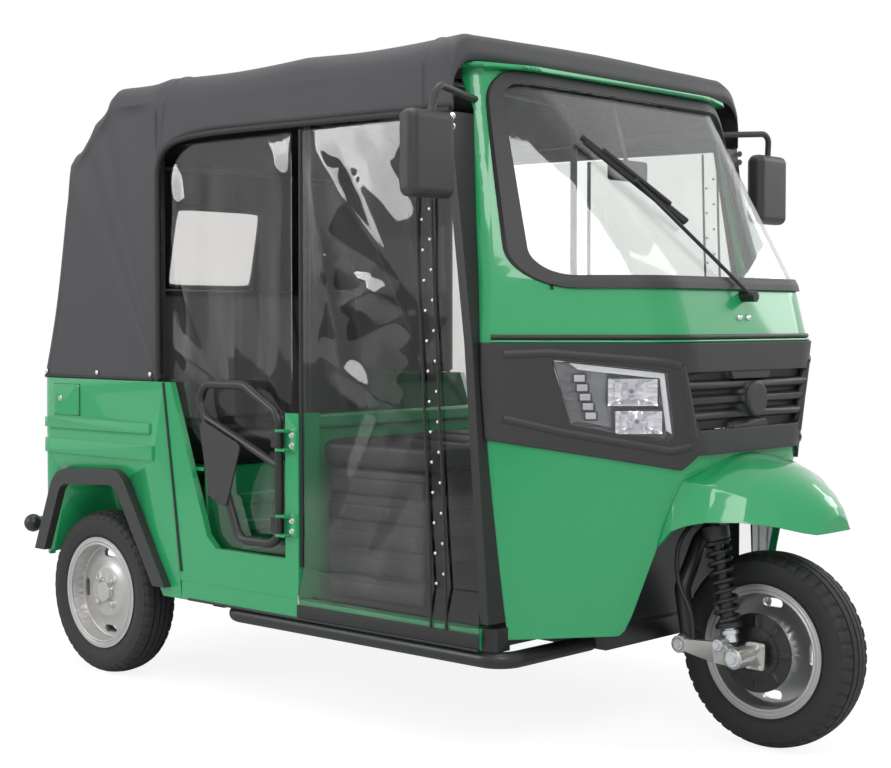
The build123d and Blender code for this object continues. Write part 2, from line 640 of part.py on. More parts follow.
def tail_lamps():
    y = BODY_HALF - 150
    lamp = block(TUB_REAR_X - 24, TUB_REAR_X, -y - 32, -y + 32, 560, 740)
    return pair(fillet(lamp.faces().sort_by(Axis.X)[0].edges(), 12))


def rear_bumper():
    """Cross tube with ball ends on two brackets."""
    ball = 29.0
    x, y, z = -LENGTH / 2 + ball, BODY_HALF - 20, 432.0
    shape = rod((x, -y, z), (x, y, z), 19)
    for side in (-1, 1):
        shape += Pos(x, side * y, z) * Sphere(ball)
        plate = outline([(TUB_REAR_X + 35, CHASSIS_Z), (TUB_REAR_X + 35, FLOOR_Z), (x + 8, z + 10),
                         (x, z + 10), (x, z - 14)])
        shape += slab_y(plate, side * RAIL_Y - 8, side * RAIL_Y + 8)
    return shape


def engine_block():
    """Plain engine and gearbox mass on four feet."""
    x = REAR_AXLE_X
    shape = fillet(block(x - 215, x + 155, -190, 190, 225, 560).edges(), 20)
    for foot in (x - 140, x + 80):
        shape += block(foot - 25, foot + 25, -RAIL_Y, RAIL_Y, FLOOR_Z, FLOOR_Z + 40)
    return shape


def rear_axle_arms():
    """Trailing arm, hub carrier, drive shaft, stub axle and damper on each side."""
    hub = -HUB_Y
    inner = hub + TYRE_WIDTH / 2 + 12
    z = TYRE_RADIUS
    x = REAR_AXLE_X
    shape = rod((x, inner + 75, z), (x, inner, z), 42) + rod((x, inner + 6, z), (x, inner, z), 95)
    shape += rod((x, -190, z), (x, hub - 22, z), AXLE_RADIUS)
    arm = outline([(x - 40, z - 28), (x + 330, FLOOR_Z - 50), (x + 330, FLOOR_Z), (x - 40, z + 40)])
    shape += slab_y(arm, inner + 26, inner + 70)
    shape += block(x + 280, x + 330, inner + 26, -RAIL_Y - RAIL_W / 2, FLOOR_Z - 50, FLOOR_Z)
    shape += rod((x + 60, inner + 90, z + 10), (x + 60, inner + 90, DECK_Z), 24)
    shape += rod((x + 60, inner + 30, z + 16), (x + 60, inner + 100, z + 16), 14)
    return pair(shape)


# Hood and its frame
HOOD_T = 8.0
HOOD_SIDE = ((TUB_REAR_X + 2, WAIST_Z), (TUB_REAR_X + 150, HEADER_TOP - 122),
             (TUB_REAR_X + 362, HEADER_TOP + 64), (TUB_REAR_X + 650, HEADER_TOP + 88),
             (TUB_REAR_X + 1345, HEADER_TOP + 94),
             (A_POST_X - 130, HEADER_TOP + 92), (A_POST_X - 78, HEADER_TOP + 80),
             (A_POST_X - 52, HEADER_TOP + 52), (A_POST_X - 46, HEADER_TOP + 3))


def hood_volume(d):
    """Side outline crossed with a front outline, both drawn in by d."""
    line = pushed(HOOD_SIDE, d)
    grow = 200 if d else 0
    foot, brow = (line[0][0], WAIST_Z - grow), (line[-1][0] + grow, line[-1][1])
    side = outline([foot] + line[1:-1] + [brow, (brow[0], WAIST_Z - grow)])
    y = BODY_HALF - d
    low, edge, turn = WAIST_Z - grow - 1, HEADER_TOP - 14, HEADER_TOP + 46.5 - 0.7 * d
    shoulder, crown = HEADER_TOP + 72 - d, HEADER_TOP + 98 - d
    wide, bulge = 86 - d, 25.2 - 0.3 * d
    bound = Line((-y, low), (-y, edge))
    bound += ThreePointArc((-y, edge), (-y + bulge, turn), (-y + wide, shoulder))
    bound += ThreePointArc((-y + wide, shoulder), (0, crown), (y - wide, shoulder))
    bound += ThreePointArc((y - wide, shoulder), (y - bulge, turn), (y, edge)) + Line((y, edge), (y, low))
    bound += Line((y, low), (-y, low))
    return slab_y(side, -900, 900) & slab_x(make_face(bound), -2000, 2000)


def hood():
    shell = hood_volume(0) - hood_volume(HOOD_T)
    x = REAR_AXLE_X + 295
    way = make_face(Polyline((x, WAIST_Z - 10), (x, VALANCE_Z - 102), (x + 226, VALANCE_Z + 10),
                             (A_POST_X + 100, VALANCE_Z - 10), (A_POST_X + 100, WAIST_Z - 10), close=True))
    way = fillet([v for v in way.vertices() if v.Y > WAIST_Z and v.X < A_POST_X], 90)
    return shell - slab_y(way, -900, 900) - slab_x(rear_pane(), -2000, REAR_AXLE_X)


def rear_pane():
    low, high = HEADER_TOP - 533, HEADER_TOP - 266
    return outline([(-190, low), (190, low), (190, high), (-190, high)], 30)


def rear_window():
    strip = hood_volume(2) - hood_volume(HOOD_T - 2)
    pane = offset(rear_pane(), -0.3)
    return strip & slab_x(pane, -2000, REAR_AXLE_X)


FRAME_TUBE = 11.0


def hoop(x_low, z_low, x_top, z_edge, z_top):
    """Bow from one waist, over the roof, to the other."""
    y = BODY_HALF - 54
    half = [(x_low, -y, z_low), (x_top, -y, z_edge), (x_top, -y + 70, z_top - 22)]
    points = half + [(x_top, 0, z_top)] + [(px, -py, pz) for px, py, pz in reversed(half)]
    return tube(points, FRAME_TUBE, 60)


def hood_frame():
    c_post = REAR_AXLE_X + 250
    z = HEADER_TOP
    frame = hoop(B_POST_X, PILLAR_TOP, B_POST_X, z + 12, z + 66)
    frame += hoop(c_post, WAIST_Z, c_post, z + 12, z + 60)
    frame += hoop(c_post - 10, WAIST_Z, TUB_REAR_X + 390, z - 22, z + 34)
    frame += hoop(c_post - 20, WAIST_Z, TUB_REAR_X + 190, z - 190, z - 136)
    for side in (-1, 1):
        y = side * (BODY_HALF - 54)
        frame += rod((c_post, y, z - 78), (HEADER_BACK_X + 2, y, z - 78), FRAME_TUBE - 1)
        frame += block(c_post - 40, c_post + 12, y - 14, y + 14, WAIST_Z - 30, WAIST_Z + 20)
        frame += block(c_post - 40, c_post + 12, min(y, side * (BODY_HALF - WALL)),
                       max(y, side * (BODY_HALF - WALL)), WAIST_Z - 30, WAIST_Z)
    return frame


def front_curtains():
    y = -BODY_HALF + 10
    edge = [(x - SEAL_W - 0.5, z) for x, z in post_line(345, MASK_TOP, VALANCE_Z + 16)]
    sheet = outline([(B_POST_X + 28, SILL_TOP), (edge[0][0], SILL_TOP)] + edge
                    + [(B_POST_X + 28, VALANCE_Z + 16)])
    return pair(slab_y(sheet, y, y + 3))


def rear_curtain():
    y = -BODY_HALF + 33
    low, high = SILL_TOP + 0.3, VALANCE_Z + 16
    sheet = outline([(BULKHEAD_X + 14, low), (B_POST_X - 32, low), (B_POST_X - 32, high),
                     (REAR_AXLE_X + 272, high), (REAR_AXLE_X + 272, WAIST_Z + 8), (BULKHEAD_X + 14, 690)])
    return slab_y(sheet, y, y + 3)


# Wheels and steering
def tyre(x, y):
    w, r, b = TYRE_WIDTH / 2, TYRE_RADIUS, BEAD_RADIUS + 0.4
    bead = w - 11
    half = Line((0, b), (bead, b)) + Line((bead, b), (bead, b + 18))
    half += ThreePointArc((bead, b + 18), (w, b + 50), (w - 8, r - 14))
    half += ThreePointArc((w - 8, r - 14), (w - 30, r - 3.5), (0, r))
    profile = make_face(half + mirror(half, about=Plane.YZ))
    ring = revolve(Plane((0, 0, 0), x_dir=(0, 1, 0), z_dir=(1, 0, 0)) * profile, Axis.Y)
    return Pos(x, y, TYRE_RADIUS) * ring


def rim(x, y, outward):
    """Steel wheel with a dished disc, four oval holes and a hub with nuts; outward is the hub cap's side."""
    b, f, w = BEAD_RADIUS, FLANGE_RADIUS, TYRE_WIDTH / 2 - 10.6
    chain = [(-w - 4, f), (-w, f), (-w, b), (w, b), (w, f), (w + 4, f), (w + 4, b - 6), (8, b - 6),
             (14, 96), (26, 70), (26, 30), (-44, 30), (-44, 52), (4, 52), (4, 92), (-6, b - 6),
             (-w - 4, b - 6)]
    wheel = revolve(make_face(Polyline(*[(p, q) for p, q in chain], close=True)), Axis.X)
    for i in range(4):
        turn = Rot(90 * i, 0, 0)
        face = Plane((-40, 0, 118), x_dir=(0, 1, 0), z_dir=(1, 0, 0))
        wheel -= turn * extrude(face * SlotOverall(58, 24), amount=90)
        wheel += Rot(90 * i + 45, 0, 0) * rod((22, 0, 50), (38, 0, 50), 9)
    wheel += rod((10, 0, 0), (40, 0, 0), 31) + rod((-44, 0, 0), (10, 0, 0), 31)
    wheel -= rod((-60, 0, 0), (26, 0, 0), AXLE_RADIUS + 0.5)
    return Pos(x, y, TYRE_RADIUS) * Rot(0, 0, 90 * outward) * wheel


def steering_fork():
    """Stem in the head tube, one leg down the right side, steering shaft up to the bar."""
    shape = rod(steer_point(580), steer_point(800), 25)
    shape += rod(steer_point(790), steer_point(BAR_Z - 6), 13)
    x, _, z = steer_point(590)
    px, py, pz = PIVOT
    shape += tube([(x, 0, z), (px - 10, -70, 520), (px - 24, py, 400), (px, py, pz)], 21, 40)
    shape += rod((px, py - 24, pz), (px, py + 24, pz), 27)
    sx, sy, sz = SHOCK_TOP
    shape += rod((sx, sy - 18, sz + 14.8), (sx, sy + 22, sz + 14.8), 14)
    return shape + rod((sx, sy + 16, sz + 14.8), (x, 0, z + 16), 14)


PIVOT = (FRONT_AXLE_X - 164, -130.0, 265.0)
SHOCK_TOP = (FRONT_AXLE_X - 95, -122.0, 572.0)
SHOCK_LOW = (FRONT_AXLE_X - 45, -128.0, 305.0)


def handlebar():
    x, _, z = steer_point(BAR_Z)
    bar = tube([(x - 60, -285, z + 6), (x, -150, z), (x, 150, z), (x - 60, 285, z + 6)], 11, 60)
    for side in (-1, 1):
        bar += rod((x - 18, side * 190, z + 2), (x - 60, side * 285, z + 6), 17)
    bar += fillet(block(x - 45, x + 40, -70, 70, z - 24, z + 40).edges(), 10)
    return bar - rod(steer_point(BAR_Z - 80), steer_point(BAR_Z - 6), 13.3)


PLATE_Y = -TYRE_WIDTH / 2 - 14


def suspension_link():
    """Leading link from the fork pivot to the stub axle."""
    px, py, pz = PIVOT
    x, z = FRONT_AXLE_X, TYRE_RADIUS
    shape = rod((px, py - 24.3, pz), (px, py - 50, pz), 22)
    bar = outline([(px, pz - 14), (px, pz + 14), (x - 64, z + 34), (x - 20, z + 30), (x, z + 22),
                   (x, z - 22), (x - 60, z - 18)])
    shape += slab_y(bar, py - 48, py - 30)
    shape += rod((x, py - 54, z), (x, PLATE_Y - 14.3, z), 26)
    shape += rod((x, PLATE_Y - 20, z), (x, 22, z), AXLE_RADIUS)
    shape += slab_y(outline([(x - 6, z - 34), (x + 46, z - 34), (x + 46, z + 34), (x - 6, z + 34)], 6),
                    PLATE_Y - 42, PLATE_Y - 36)
    sx, sy, sz = SHOCK_LOW
    return shape + rod((sx, py - 52, sz - 26), (sx, sy + 18, sz - 26), 13)


def brake_plate():
    """Back plate with a raised middle and radial ribs, facing the tyre's open side."""
    x, z, y = FRONT_AXLE_X, TYRE_RADIUS, PLATE_Y
    shape = rod((x, y - 6, z), (x, y, z), 100) + rod((x, y - 14, z), (x, y, z), 66)
    for i in range(8):
        spoke = Rot(0, 45 * i, 0) * block(40, 94, y - 10, y, -4, 4)
        shape += Pos(x, 0, z) * spoke
    return shape - rod((x, y - 40, z), (x, y + 10, z), AXLE_RADIUS + 0.3)


def shock_absorber():
    """Damper with a coil spring of stacked turns."""
    low, top = Vector(*SHOCK_LOW), Vector(*SHOCK_TOP)
    axis = top - low
    run = axis.length
    place = Plane(SHOCK_LOW, z_dir=axis)
    shape = rod((0, 0, -12), (0, 0, run), 14) + rod((0, 0, 8), (0, 0, 20), 34)
    shape += rod((0, 0, run - 34), (0, 0, run - 6), 34)
    turns = 8
    for i in range(turns):
        up = 28 + i * (run - 72) / (turns - 1)
        shape += Pos(0, 0, up) * Torus(29, 5.5) + rod((0, 0, up - 2), (0, 0, up + 2), 27)
    return place.location * shape


def brake_hose():
    """Hose from the fork crown, back and down to the brake plate."""
    px, py, pz = PIVOT
    return tube([(px + 19, -66, 586), (px - 5, -170, 562), (px - 15, py - 46, 430), (px + 39, py - 41, 345),
                 (px + 39, py - 41, pz + 16.3)], 6, 24)


PARTS = {
    "chassis_frame": chassis_frame, "floor_pan": floor_pan, "sills": sills, "side_steps": side_steps,
    "front_cowl": front_cowl, "front_apron": front_apron, "front_mudguard": front_mudguard,
    "toe_board": toe_board, "nose_mask": nose_mask, "grille": grille, "headlamp_lenses": headlamp_lenses,
    "headlamp_housings": headlamp_housings, "windscreen_gasket": windscreen_gasket,
    "windscreen_glass": windscreen_glass, "wiper": wiper, "post_seals": post_seals, "mirrors": mirrors,
    "inner_mirror": inner_mirror,
    "dashboard": dashboard, "entry_panels": entry_panels, "partition": partition, "driver_seat": driver_seat,
    "rear_side_panels": rear_side_panels, "wheel_flares": wheel_flares, "rear_panel": rear_panel,
    "engine_door": engine_door, "seat_bulkhead": seat_bulkhead, "passenger_seat": passenger_seat,
    "tail_lamps": tail_lamps, "rear_bumper": rear_bumper, "engine_block": engine_block,
    "rear_axle_arms": rear_axle_arms, "hood": hood, "rear_window": rear_window, "hood_frame": hood_frame,
    "front_curtains": front_curtains, "rear_curtain_right": rear_curtain,
    "rear_curtain_left": lambda: left(rear_curtain()), "door_frame_right": door_frame,
    "door_frame_left": lambda: left(door_frame()), "door_panel_right": door_panel,
    "door_panel_left": lambda: left(door_panel()), "steering_fork": steering_fork, "handlebar": handlebar,
    "suspension_link": suspension_link, "brake_plate": brake_plate,
    "shock_absorber": shock_absorber, "brake_hose": brake_hose,
    "front_tyre": lambda: tyre(FRONT_AXLE_X, 0), "front_rim": lambda: rim(FRONT_AXLE_X, 0, 1),
    "rear_tyre_right": lambda: tyre(REAR_AXLE_X, -HUB_Y),
    "rear_rim_right": lambda: rim(REAR_AXLE_X, -HUB_Y, -1),
    "rear_tyre_left": lambda: tyre(REAR_AXLE_X, HUB_Y),
    "rear_rim_left": lambda: rim(REAR_AXLE_X, HUB_Y, 1),
}

os.makedirs("parts", exist_ok=True)
for name, make in PARTS.items():
    export_step(make(), "parts/" + name + ".step")
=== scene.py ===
import json
import math
from collections import namedtuple

import bmesh
import bpy
from mathutils import Matrix, Vector, noise
from mathutils.bvhtree import BVHTree


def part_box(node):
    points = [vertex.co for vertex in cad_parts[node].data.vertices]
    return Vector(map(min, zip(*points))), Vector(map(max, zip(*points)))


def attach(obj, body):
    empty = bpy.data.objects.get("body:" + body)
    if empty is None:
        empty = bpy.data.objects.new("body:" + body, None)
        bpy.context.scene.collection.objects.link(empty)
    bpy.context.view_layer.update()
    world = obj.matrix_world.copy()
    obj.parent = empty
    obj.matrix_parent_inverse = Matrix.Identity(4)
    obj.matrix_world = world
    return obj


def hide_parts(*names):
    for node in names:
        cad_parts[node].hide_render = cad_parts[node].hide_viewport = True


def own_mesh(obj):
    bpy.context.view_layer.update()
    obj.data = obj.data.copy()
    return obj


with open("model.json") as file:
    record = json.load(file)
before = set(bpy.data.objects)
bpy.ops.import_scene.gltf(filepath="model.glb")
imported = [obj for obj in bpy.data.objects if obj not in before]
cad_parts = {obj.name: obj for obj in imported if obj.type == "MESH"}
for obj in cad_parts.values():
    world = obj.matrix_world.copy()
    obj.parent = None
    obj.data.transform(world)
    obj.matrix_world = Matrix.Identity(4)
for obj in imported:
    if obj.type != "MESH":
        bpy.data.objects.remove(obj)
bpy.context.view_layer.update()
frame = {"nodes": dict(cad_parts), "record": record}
NODES = frame["nodes"]
SCENE = bpy.context.scene
SIDES = (("right", -1), ("left", 1))

# Places shared with the solids, in metres
FRONT_AXLE = Vector((1.075, 0.0, 0.250))
REAR_AXLE_X = -0.915
HUB_Y = 0.585
BODY_HALF = 0.640
B_POST_X = -0.034
WAIST_Z, SILL_TOP, MASK_TOP = 0.905, 0.330, 1.030
DECK_Z, FLOOR_TOP = 0.652, 0.318


# Node helpers
def add(tree, kind, settings=(), **inputs):
    """New shader node; inputs are values or sockets, with _ for a space in a socket's name."""
    made = tree.nodes.new("ShaderNode" + kind)
    for key, value in dict(settings).items():
        setattr(made, key, value)
    for key, value in inputs.items():
        connect(tree, value, made.inputs[key.replace("_", " ")])
    return made


def connect(tree, value, socket):
    if isinstance(value, bpy.types.NodeSocket):
        tree.links.new(value, socket)
    else:
        socket.default_value = value


def maths(tree, operation, *values):
    made = add(tree, "Math", {"operation": operation})
    for socket, value in zip(made.inputs, values):
        connect(tree, value, socket)
    return made.outputs[0]


def ramp(tree, value, low, high):
    """Share of the way from low to high, held at its ends."""
    return add(tree, "MapRange", Value=value, From_Min=low, From_Max=high).outputs["Result"]


def dot(tree, first, second):
    made = add(tree, "VectorMath", {"operation": "DOT_PRODUCT"})
    tree.links.new(first, made.inputs[0])
    tree.links.new(second, made.inputs[1])
    return made.outputs["Value"]


def mixed_shaders(tree, share, first, second):
    made = add(tree, "MixShader", Fac=share)
    tree.links.new(first.outputs[0], made.inputs[1])
    tree.links.new(second.outputs[0], made.inputs[2])
    return made


def new_group(name, inputs, outputs):
    group = bpy.data.node_groups.new(name, "ShaderNodeTree")
    for label, kind, value in inputs:
        socket = group.interface.new_socket(name=label, in_out="INPUT", socket_type="NodeSocket" + kind)
        socket.default_value = value
    for label, kind in outputs:
        group.interface.new_socket(name=label, in_out="OUTPUT", socket_type="NodeSocket" + kind)
    return group, group.nodes.new("NodeGroupInput").outputs, group.nodes.new("NodeGroupOutput").inputs


def grain_group():
    """Slow patches of tone and gloss, and a fine grain."""
    group, given, out = new_group("surface_grain", (
        ("Color", "Color", (0.5, 0.5, 0.5, 1.0)), ("Variation", "Float", 0.1), ("Patch Scale", "Float", 3.0),
        ("Grain Scale", "Float", 600.0), ("Roughness", "Float", 0.5), ("Spread", "Float", 0.1)),
        (("Color", "Color"), ("Roughness", "Float"), ("Height", "Float")))
    where = add(group, "TexCoord").outputs["Object"]
    patches = add(group, "TexNoise", Vector=where, Scale=given["Patch Scale"], Detail=4.0).outputs["Fac"]
    centred = maths(group, "SUBTRACT", patches, 0.5)
    tone = maths(group, "MULTIPLY_ADD", centred, given["Variation"], 1.0)
    toned = add(group, "HueSaturation", Color=given["Color"], Value=tone).outputs["Color"]
    gloss = maths(group, "MULTIPLY_ADD", centred, given["Spread"], given["Roughness"])
    group.links.new(toned, out["Color"])
    group.links.new(gloss, out["Roughness"])
    fine = add(group, "TexNoise", Vector=where, Scale=given["Grain Scale"], Detail=2.0).outputs["Fac"]
    group.links.new(fine, out["Height"])
    return group


def edge_group():
    """Edges eased to a small radius, and a mask of the edges, which the finishes paint lighter as rubbed wear
    and as a painted highlight.
    """
    group, given, out = new_group("eased_edges", (("Radius", "Float", 0.003),),
                                  (("Normal", "Vector"), ("Wear And Highlight", "Float")))
    eased = add(group, "Bevel", {"samples": 4}, Radius=given["Radius"]).outputs["Normal"]
    flat = add(group, "NewGeometry").outputs["Normal"]
    group.links.new(eased, out["Normal"])
    # Mask of the edges, where the colour is painted lighter: partly rubbed wear, partly a painted highlight.
    group.links.new(ramp(group, dot(group, eased, flat), 0.985, 0.86), out["Wear And Highlight"])
    return group


def weave_group():
    """Cloth-backed vinyl: two crossed ribs at thread scale."""
    group, given, out = new_group("vinyl_weave", (("Threads", "Float", 900.0),), (("Height", "Float"),))
    where = add(group, "TexCoord").outputs["Object"]
    bands = [add(group, "TexWave", {"wave_type": "BANDS", "bands_direction": axis}, Vector=where,
                 Scale=given["Threads"], Distortion=0.6).outputs["Fac"] for axis in "XYZ"]
    crossed = maths(group, "MULTIPLY", bands[0], bands[1])
    group.links.new(maths(group, "ADD", crossed, bands[2]), out["Height"])
    return group


GRAIN, EDGES, WEAVE = grain_group(), edge_group(), weave_group()


def grouped(tree, group, **inputs):
    return add(tree, "Group", {"node_tree": group}, **inputs).outputs


def mixed(tree, mask, first, second):
    made = add(tree, "Mix", {"data_type": "RGBA"})
    connect(tree, mask, made.inputs[0])
    connect(tree, first, made.inputs[6])
    connect(tree, second, made.inputs[7])
    return made.outputs[2]


FINISHES = {}


def new_finish(name):
    """Node tree and shader of a new material."""
    made = bpy.data.materials.new(name)
    made.use_nodes = True
    FINISHES[name] = made
    return made.node_tree, made.node_tree.nodes["Principled BSDF"]


def finish(name, color, rough, variation=0.12, patch=2.5, spread=0.12, grain=700.0, depth=0.15, edge=0.003,
           edge_wear_and_highlight=None, weave=0.0, **sockets):
    """Opaque finish: toned colour, broken gloss, fine grain, eased edges, and edges painted lighter as rubbed
    wear and as a highlight.
    """
    tree, shader = new_finish(name)
    skin = grouped(tree, GRAIN, Color=(*color, 1.0), Variation=variation, Patch_Scale=patch,
                   Grain_Scale=grain, Roughness=rough, Spread=spread)
    eased = grouped(tree, EDGES, Radius=edge)
    tone, height = skin["Color"], skin["Height"]
    # Lighter colour on the edges: partly rubbed wear, partly a painted edge highlight.
    if edge_wear_and_highlight:
        tone = mixed(tree, maths(tree, "MULTIPLY", eased["Wear And Highlight"], edge_wear_and_highlight[1]), tone, (*edge_wear_and_highlight[0], 1.0))
    if weave:
        height = maths(tree, "ADD", height, grouped(tree, WEAVE, Threads=weave)["Height"])
    bump = add(tree, "Bump", Strength=depth, Distance=0.001, Height=height, Normal=eased["Normal"])
    connect(tree, tone, shader.inputs["Base Color"])
    connect(tree, skin["Roughness"], shader.inputs["Roughness"])
    connect(tree, bump.outputs["Normal"], shader.inputs["Normal"])
    for key, value in sockets.items():
        shader.inputs[key.replace("_", " ")].default_value = value


def facing_share(tree):
    """1 where a surface is seen square on and 0 edge on, from either side."""
    where = add(tree, "NewGeometry").outputs
    return maths(tree, "ABSOLUTE", dot(tree, where["Incoming"], where["Normal"]))


THIN_SHARE = 0.98


def clear(name, color, rough, ior):
    """Clear sheet, almost wholly seen straight through, with a shine that grows towards edge on."""
    tree, shader = new_finish(name)
    for key, value in (("Base Color", (*color, 1.0)), ("Transmission Weight", 1.0), ("IOR", ior)):
        shader.inputs[key].default_value = value
    skin = grouped(tree, GRAIN, Color=(*color, 1.0), Patch_Scale=4.0, Roughness=rough, Spread=rough)
    connect(tree, skin["Roughness"], shader.inputs["Roughness"])
    through = add(tree, "BsdfTransparent", Color=(*color, 1.0))
    shine = add(tree, "BsdfGlossy", Color=(1.0, 1.0, 1.0, 1.0), Roughness=skin["Roughness"])
    straight = ((ior - 1) / (ior + 1)) ** 2
    side_on = maths(tree, "POWER", maths(tree, "SUBTRACT", 1.0, facing_share(tree)), 5.0)
    thin = mixed_shaders(tree, maths(tree, "MULTIPLY_ADD", side_on, 1 - straight, straight), through, shine)
    blend = mixed_shaders(tree, THIN_SHARE, shader, thin)
    tree.links.new(blend.outputs[0], tree.nodes["Material Output"].inputs["Surface"])


finish("green_enamel", (0.018, 0.370, 0.125), 0.36, 0.05, 1.6, 0.06, 260.0, 0.012, 0.004,
       Coat_Weight=0.8, Coat_Roughness=0.04, Specular_IOR_Level=0.3)
# Where a finish gives a second, lighter colour, it is painted on the edges: partly rubbed wear, partly a
# painted highlight.
finish("frame_black", (0.016, 0.016, 0.017), 0.36, 0.3, 6.0, 0.16, 420.0, 0.10, 0.002,
       ((0.07, 0.07, 0.07), 0.5))
finish("moulded_charcoal", (0.030, 0.029, 0.030), 0.47, 0.14, 4.0, 0.12, 1500.0, 0.28, 0.004,
       ((0.060, 0.058, 0.060), 0.35))
finish("hood_cloth", (0.050, 0.050, 0.054), 0.60, 0.16, 3.0, 0.14, 260.0, 0.08, 0.002, None, 900.0)
finish("hood_lining", (0.014, 0.013, 0.013), 0.80, 0.2, 5.0, 0.1, 900.0, 0.03, 0.002)
finish("hood_binding", (0.012, 0.012, 0.013), 0.55, 0.2, 8.0, 0.1, 500.0, 0.2, 0.001, None, 520.0)
finish("seat_leathercloth", (0.020, 0.019, 0.020), 0.46, 0.25, 6.0, 0.16, 1100.0, 0.10, 0.002)
finish("gasket_rubber", (0.034, 0.033, 0.034), 0.55, 0.2, 5.0, 0.12, 900.0, 0.16, 0.002)
finish("seal_rubber", (0.014, 0.014, 0.014), 0.45, 0.3, 5.0, 0.18, 900.0, 0.16, 0.002)
finish("tyre_rubber", (0.017, 0.017, 0.018), 0.66, 0.35, 14.0, 0.14, 700.0, 0.35, 0.0008,
       ((0.035, 0.034, 0.033), 0.5))
finish("wheel_silver", (0.52, 0.51, 0.50), 0.38, 0.16, 9.0, 0.12, 900.0, 0.08, 0.0015, Metallic=0.55)
finish("wheel_grey", (0.42, 0.42, 0.42), 0.34, 0.2, 9.0, 0.14, 900.0, 0.10, 0.0015, Metallic=0.6)
finish("cast_alloy", (0.50, 0.49, 0.46), 0.46, 0.3, 22.0, 0.2, 320.0, 0.4, 0.003,
       ((0.7, 0.7, 0.68), 0.5), Metallic=0.85)
finish("zinc_plate", (0.62, 0.64, 0.66), 0.34, 0.3, 30.0, 0.24, 260.0, 0.12, 0.0008, Metallic=1.0)
finish("bright_steel", (0.72, 0.72, 0.71), 0.26, 0.1, 30.0, 0.1, 900.0, 0.05, 0.0006, Metallic=1.0)
finish("engine_iron", (0.10, 0.10, 0.10), 0.55, 0.3, 8.0, 0.2, 200.0, 0.5, 0.004, Metallic=0.4)
finish("lamp_chrome", (0.74, 0.74, 0.76), 0.08, 0.06, 9.0, 0.06, 34.0, 0.5, 0.001, Metallic=1.0)
finish("lamp_shell", (0.24, 0.24, 0.25), 0.20, 0.06, 9.0, 0.1, 500.0, 0.05, 0.001, Metallic=0.7)
finish("lamp_guide", (0.93, 0.93, 0.93), 0.18, 0.03, 9.0, 0.05, 300.0, 0.05, 0.001)
finish("lamp_shadow", (0.05, 0.05, 0.05), 0.3, 0.2, 9.0, 0.1, 300.0, 0.1, 0.001)
finish("tail_red", (0.42, 0.010, 0.012), 0.16, 0.2, 12.0, 0.08, 70.0, 0.4, 0.002, Coat_Weight=0.8)
finish("mirror_silver", (0.88, 0.89, 0.90), 0.03, 0.02, 6.0, 0.02, 200.0, 0.0, 0.001, Metallic=1.0)
clear("curtain_film", (0.91, 0.905, 0.90), 0.02, 1.40)
clear("screen_glass", (0.955, 0.98, 0.965), 0.006, 1.48)
clear("lens_clear", (0.97, 0.97, 0.975), 0.01, 1.49)

NODE_FINISH = {
    "green_enamel": "sills front_cowl front_apron front_mudguard entry_panels partition rear_side_panels "
                    "rear_panel engine_door seat_bulkhead",
    "frame_black": "chassis_frame floor_pan side_steps toe_board wiper rear_bumper rear_axle_arms hood_frame "
                   "door_frame_right door_frame_left steering_fork handlebar shock_absorber brake_plate",
    "moulded_charcoal": "nose_mask grille mirrors inner_mirror dashboard wheel_flares door_panel_right "
                        "door_panel_left",
    "gasket_rubber": "windscreen_gasket", "seal_rubber": "post_seals brake_hose",
    "lens_clear": "headlamp_lenses", "lamp_shell": "headlamp_housings", "screen_glass": "windscreen_glass",
    "curtain_film": "rear_window front_curtains rear_curtain_right rear_curtain_left",
    "tail_red": "tail_lamps", "engine_iron": "engine_block", "cast_alloy": "suspension_link",
    "hood_cloth": "hood", "seat_leathercloth": "driver_seat passenger_seat",
    "tyre_rubber": "front_tyre rear_tyre_right rear_tyre_left", "wheel_grey": "front_rim",
    "wheel_silver": "rear_rim_right rear_rim_left",
}
FINISH_OF = {node_name: finish_name for finish_name, names in NODE_FINISH.items()
             for node_name in names.split()}
SOFT_OR_REMADE = ("hood front_curtains rear_curtain_right rear_curtain_left driver_seat passenger_seat "
                  "front_tyre rear_tyre_right rear_tyre_left shock_absorber brake_hose "
                  "headlamp_housings").split()
BODIES = frame["record"]["behaviour"]["bodies"]
BODY_OF = {node_name: body for body, held in BODIES.items() for node_name in held}
for node_name, finish_name in FINISH_OF.items():
    for slot in NODES[node_name].material_slots:
        slot.material = FINISHES[finish_name]


# Mesh helpers
def placed(name, data):
    """New object in the scene."""
    made = bpy.data.objects.new(name, data)
    SCENE.collection.objects.link(made)
    return made


def to_piece(bm, name, finish_name, body="body", stands_for=(), smooth=35.0, merge=1e-5, outward=True):
    """Object at the origin from a bmesh, riding on a body."""
    if merge:
        bmesh.ops.remove_doubles(bm, verts=bm.verts[:], dist=merge)
    if outward:
        bmesh.ops.recalc_face_normals(bm, faces=bm.faces[:])
    mesh = bpy.data.meshes.new(name)
    bm.to_mesh(mesh)
    bm.free()
    mesh.materials.append(FINISHES[finish_name])
    mesh.shade_smooth()
    mesh.set_sharp_from_angle(angle=math.radians(smooth))
    piece = placed(name, mesh)
    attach(piece, body)
    if stands_for:
        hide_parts(*stands_for)
    return piece


def modified(piece, kind, **settings):
    made = piece.modifiers.new(kind.title(), kind)
    for key, value in settings.items():
        setattr(made, key, value)


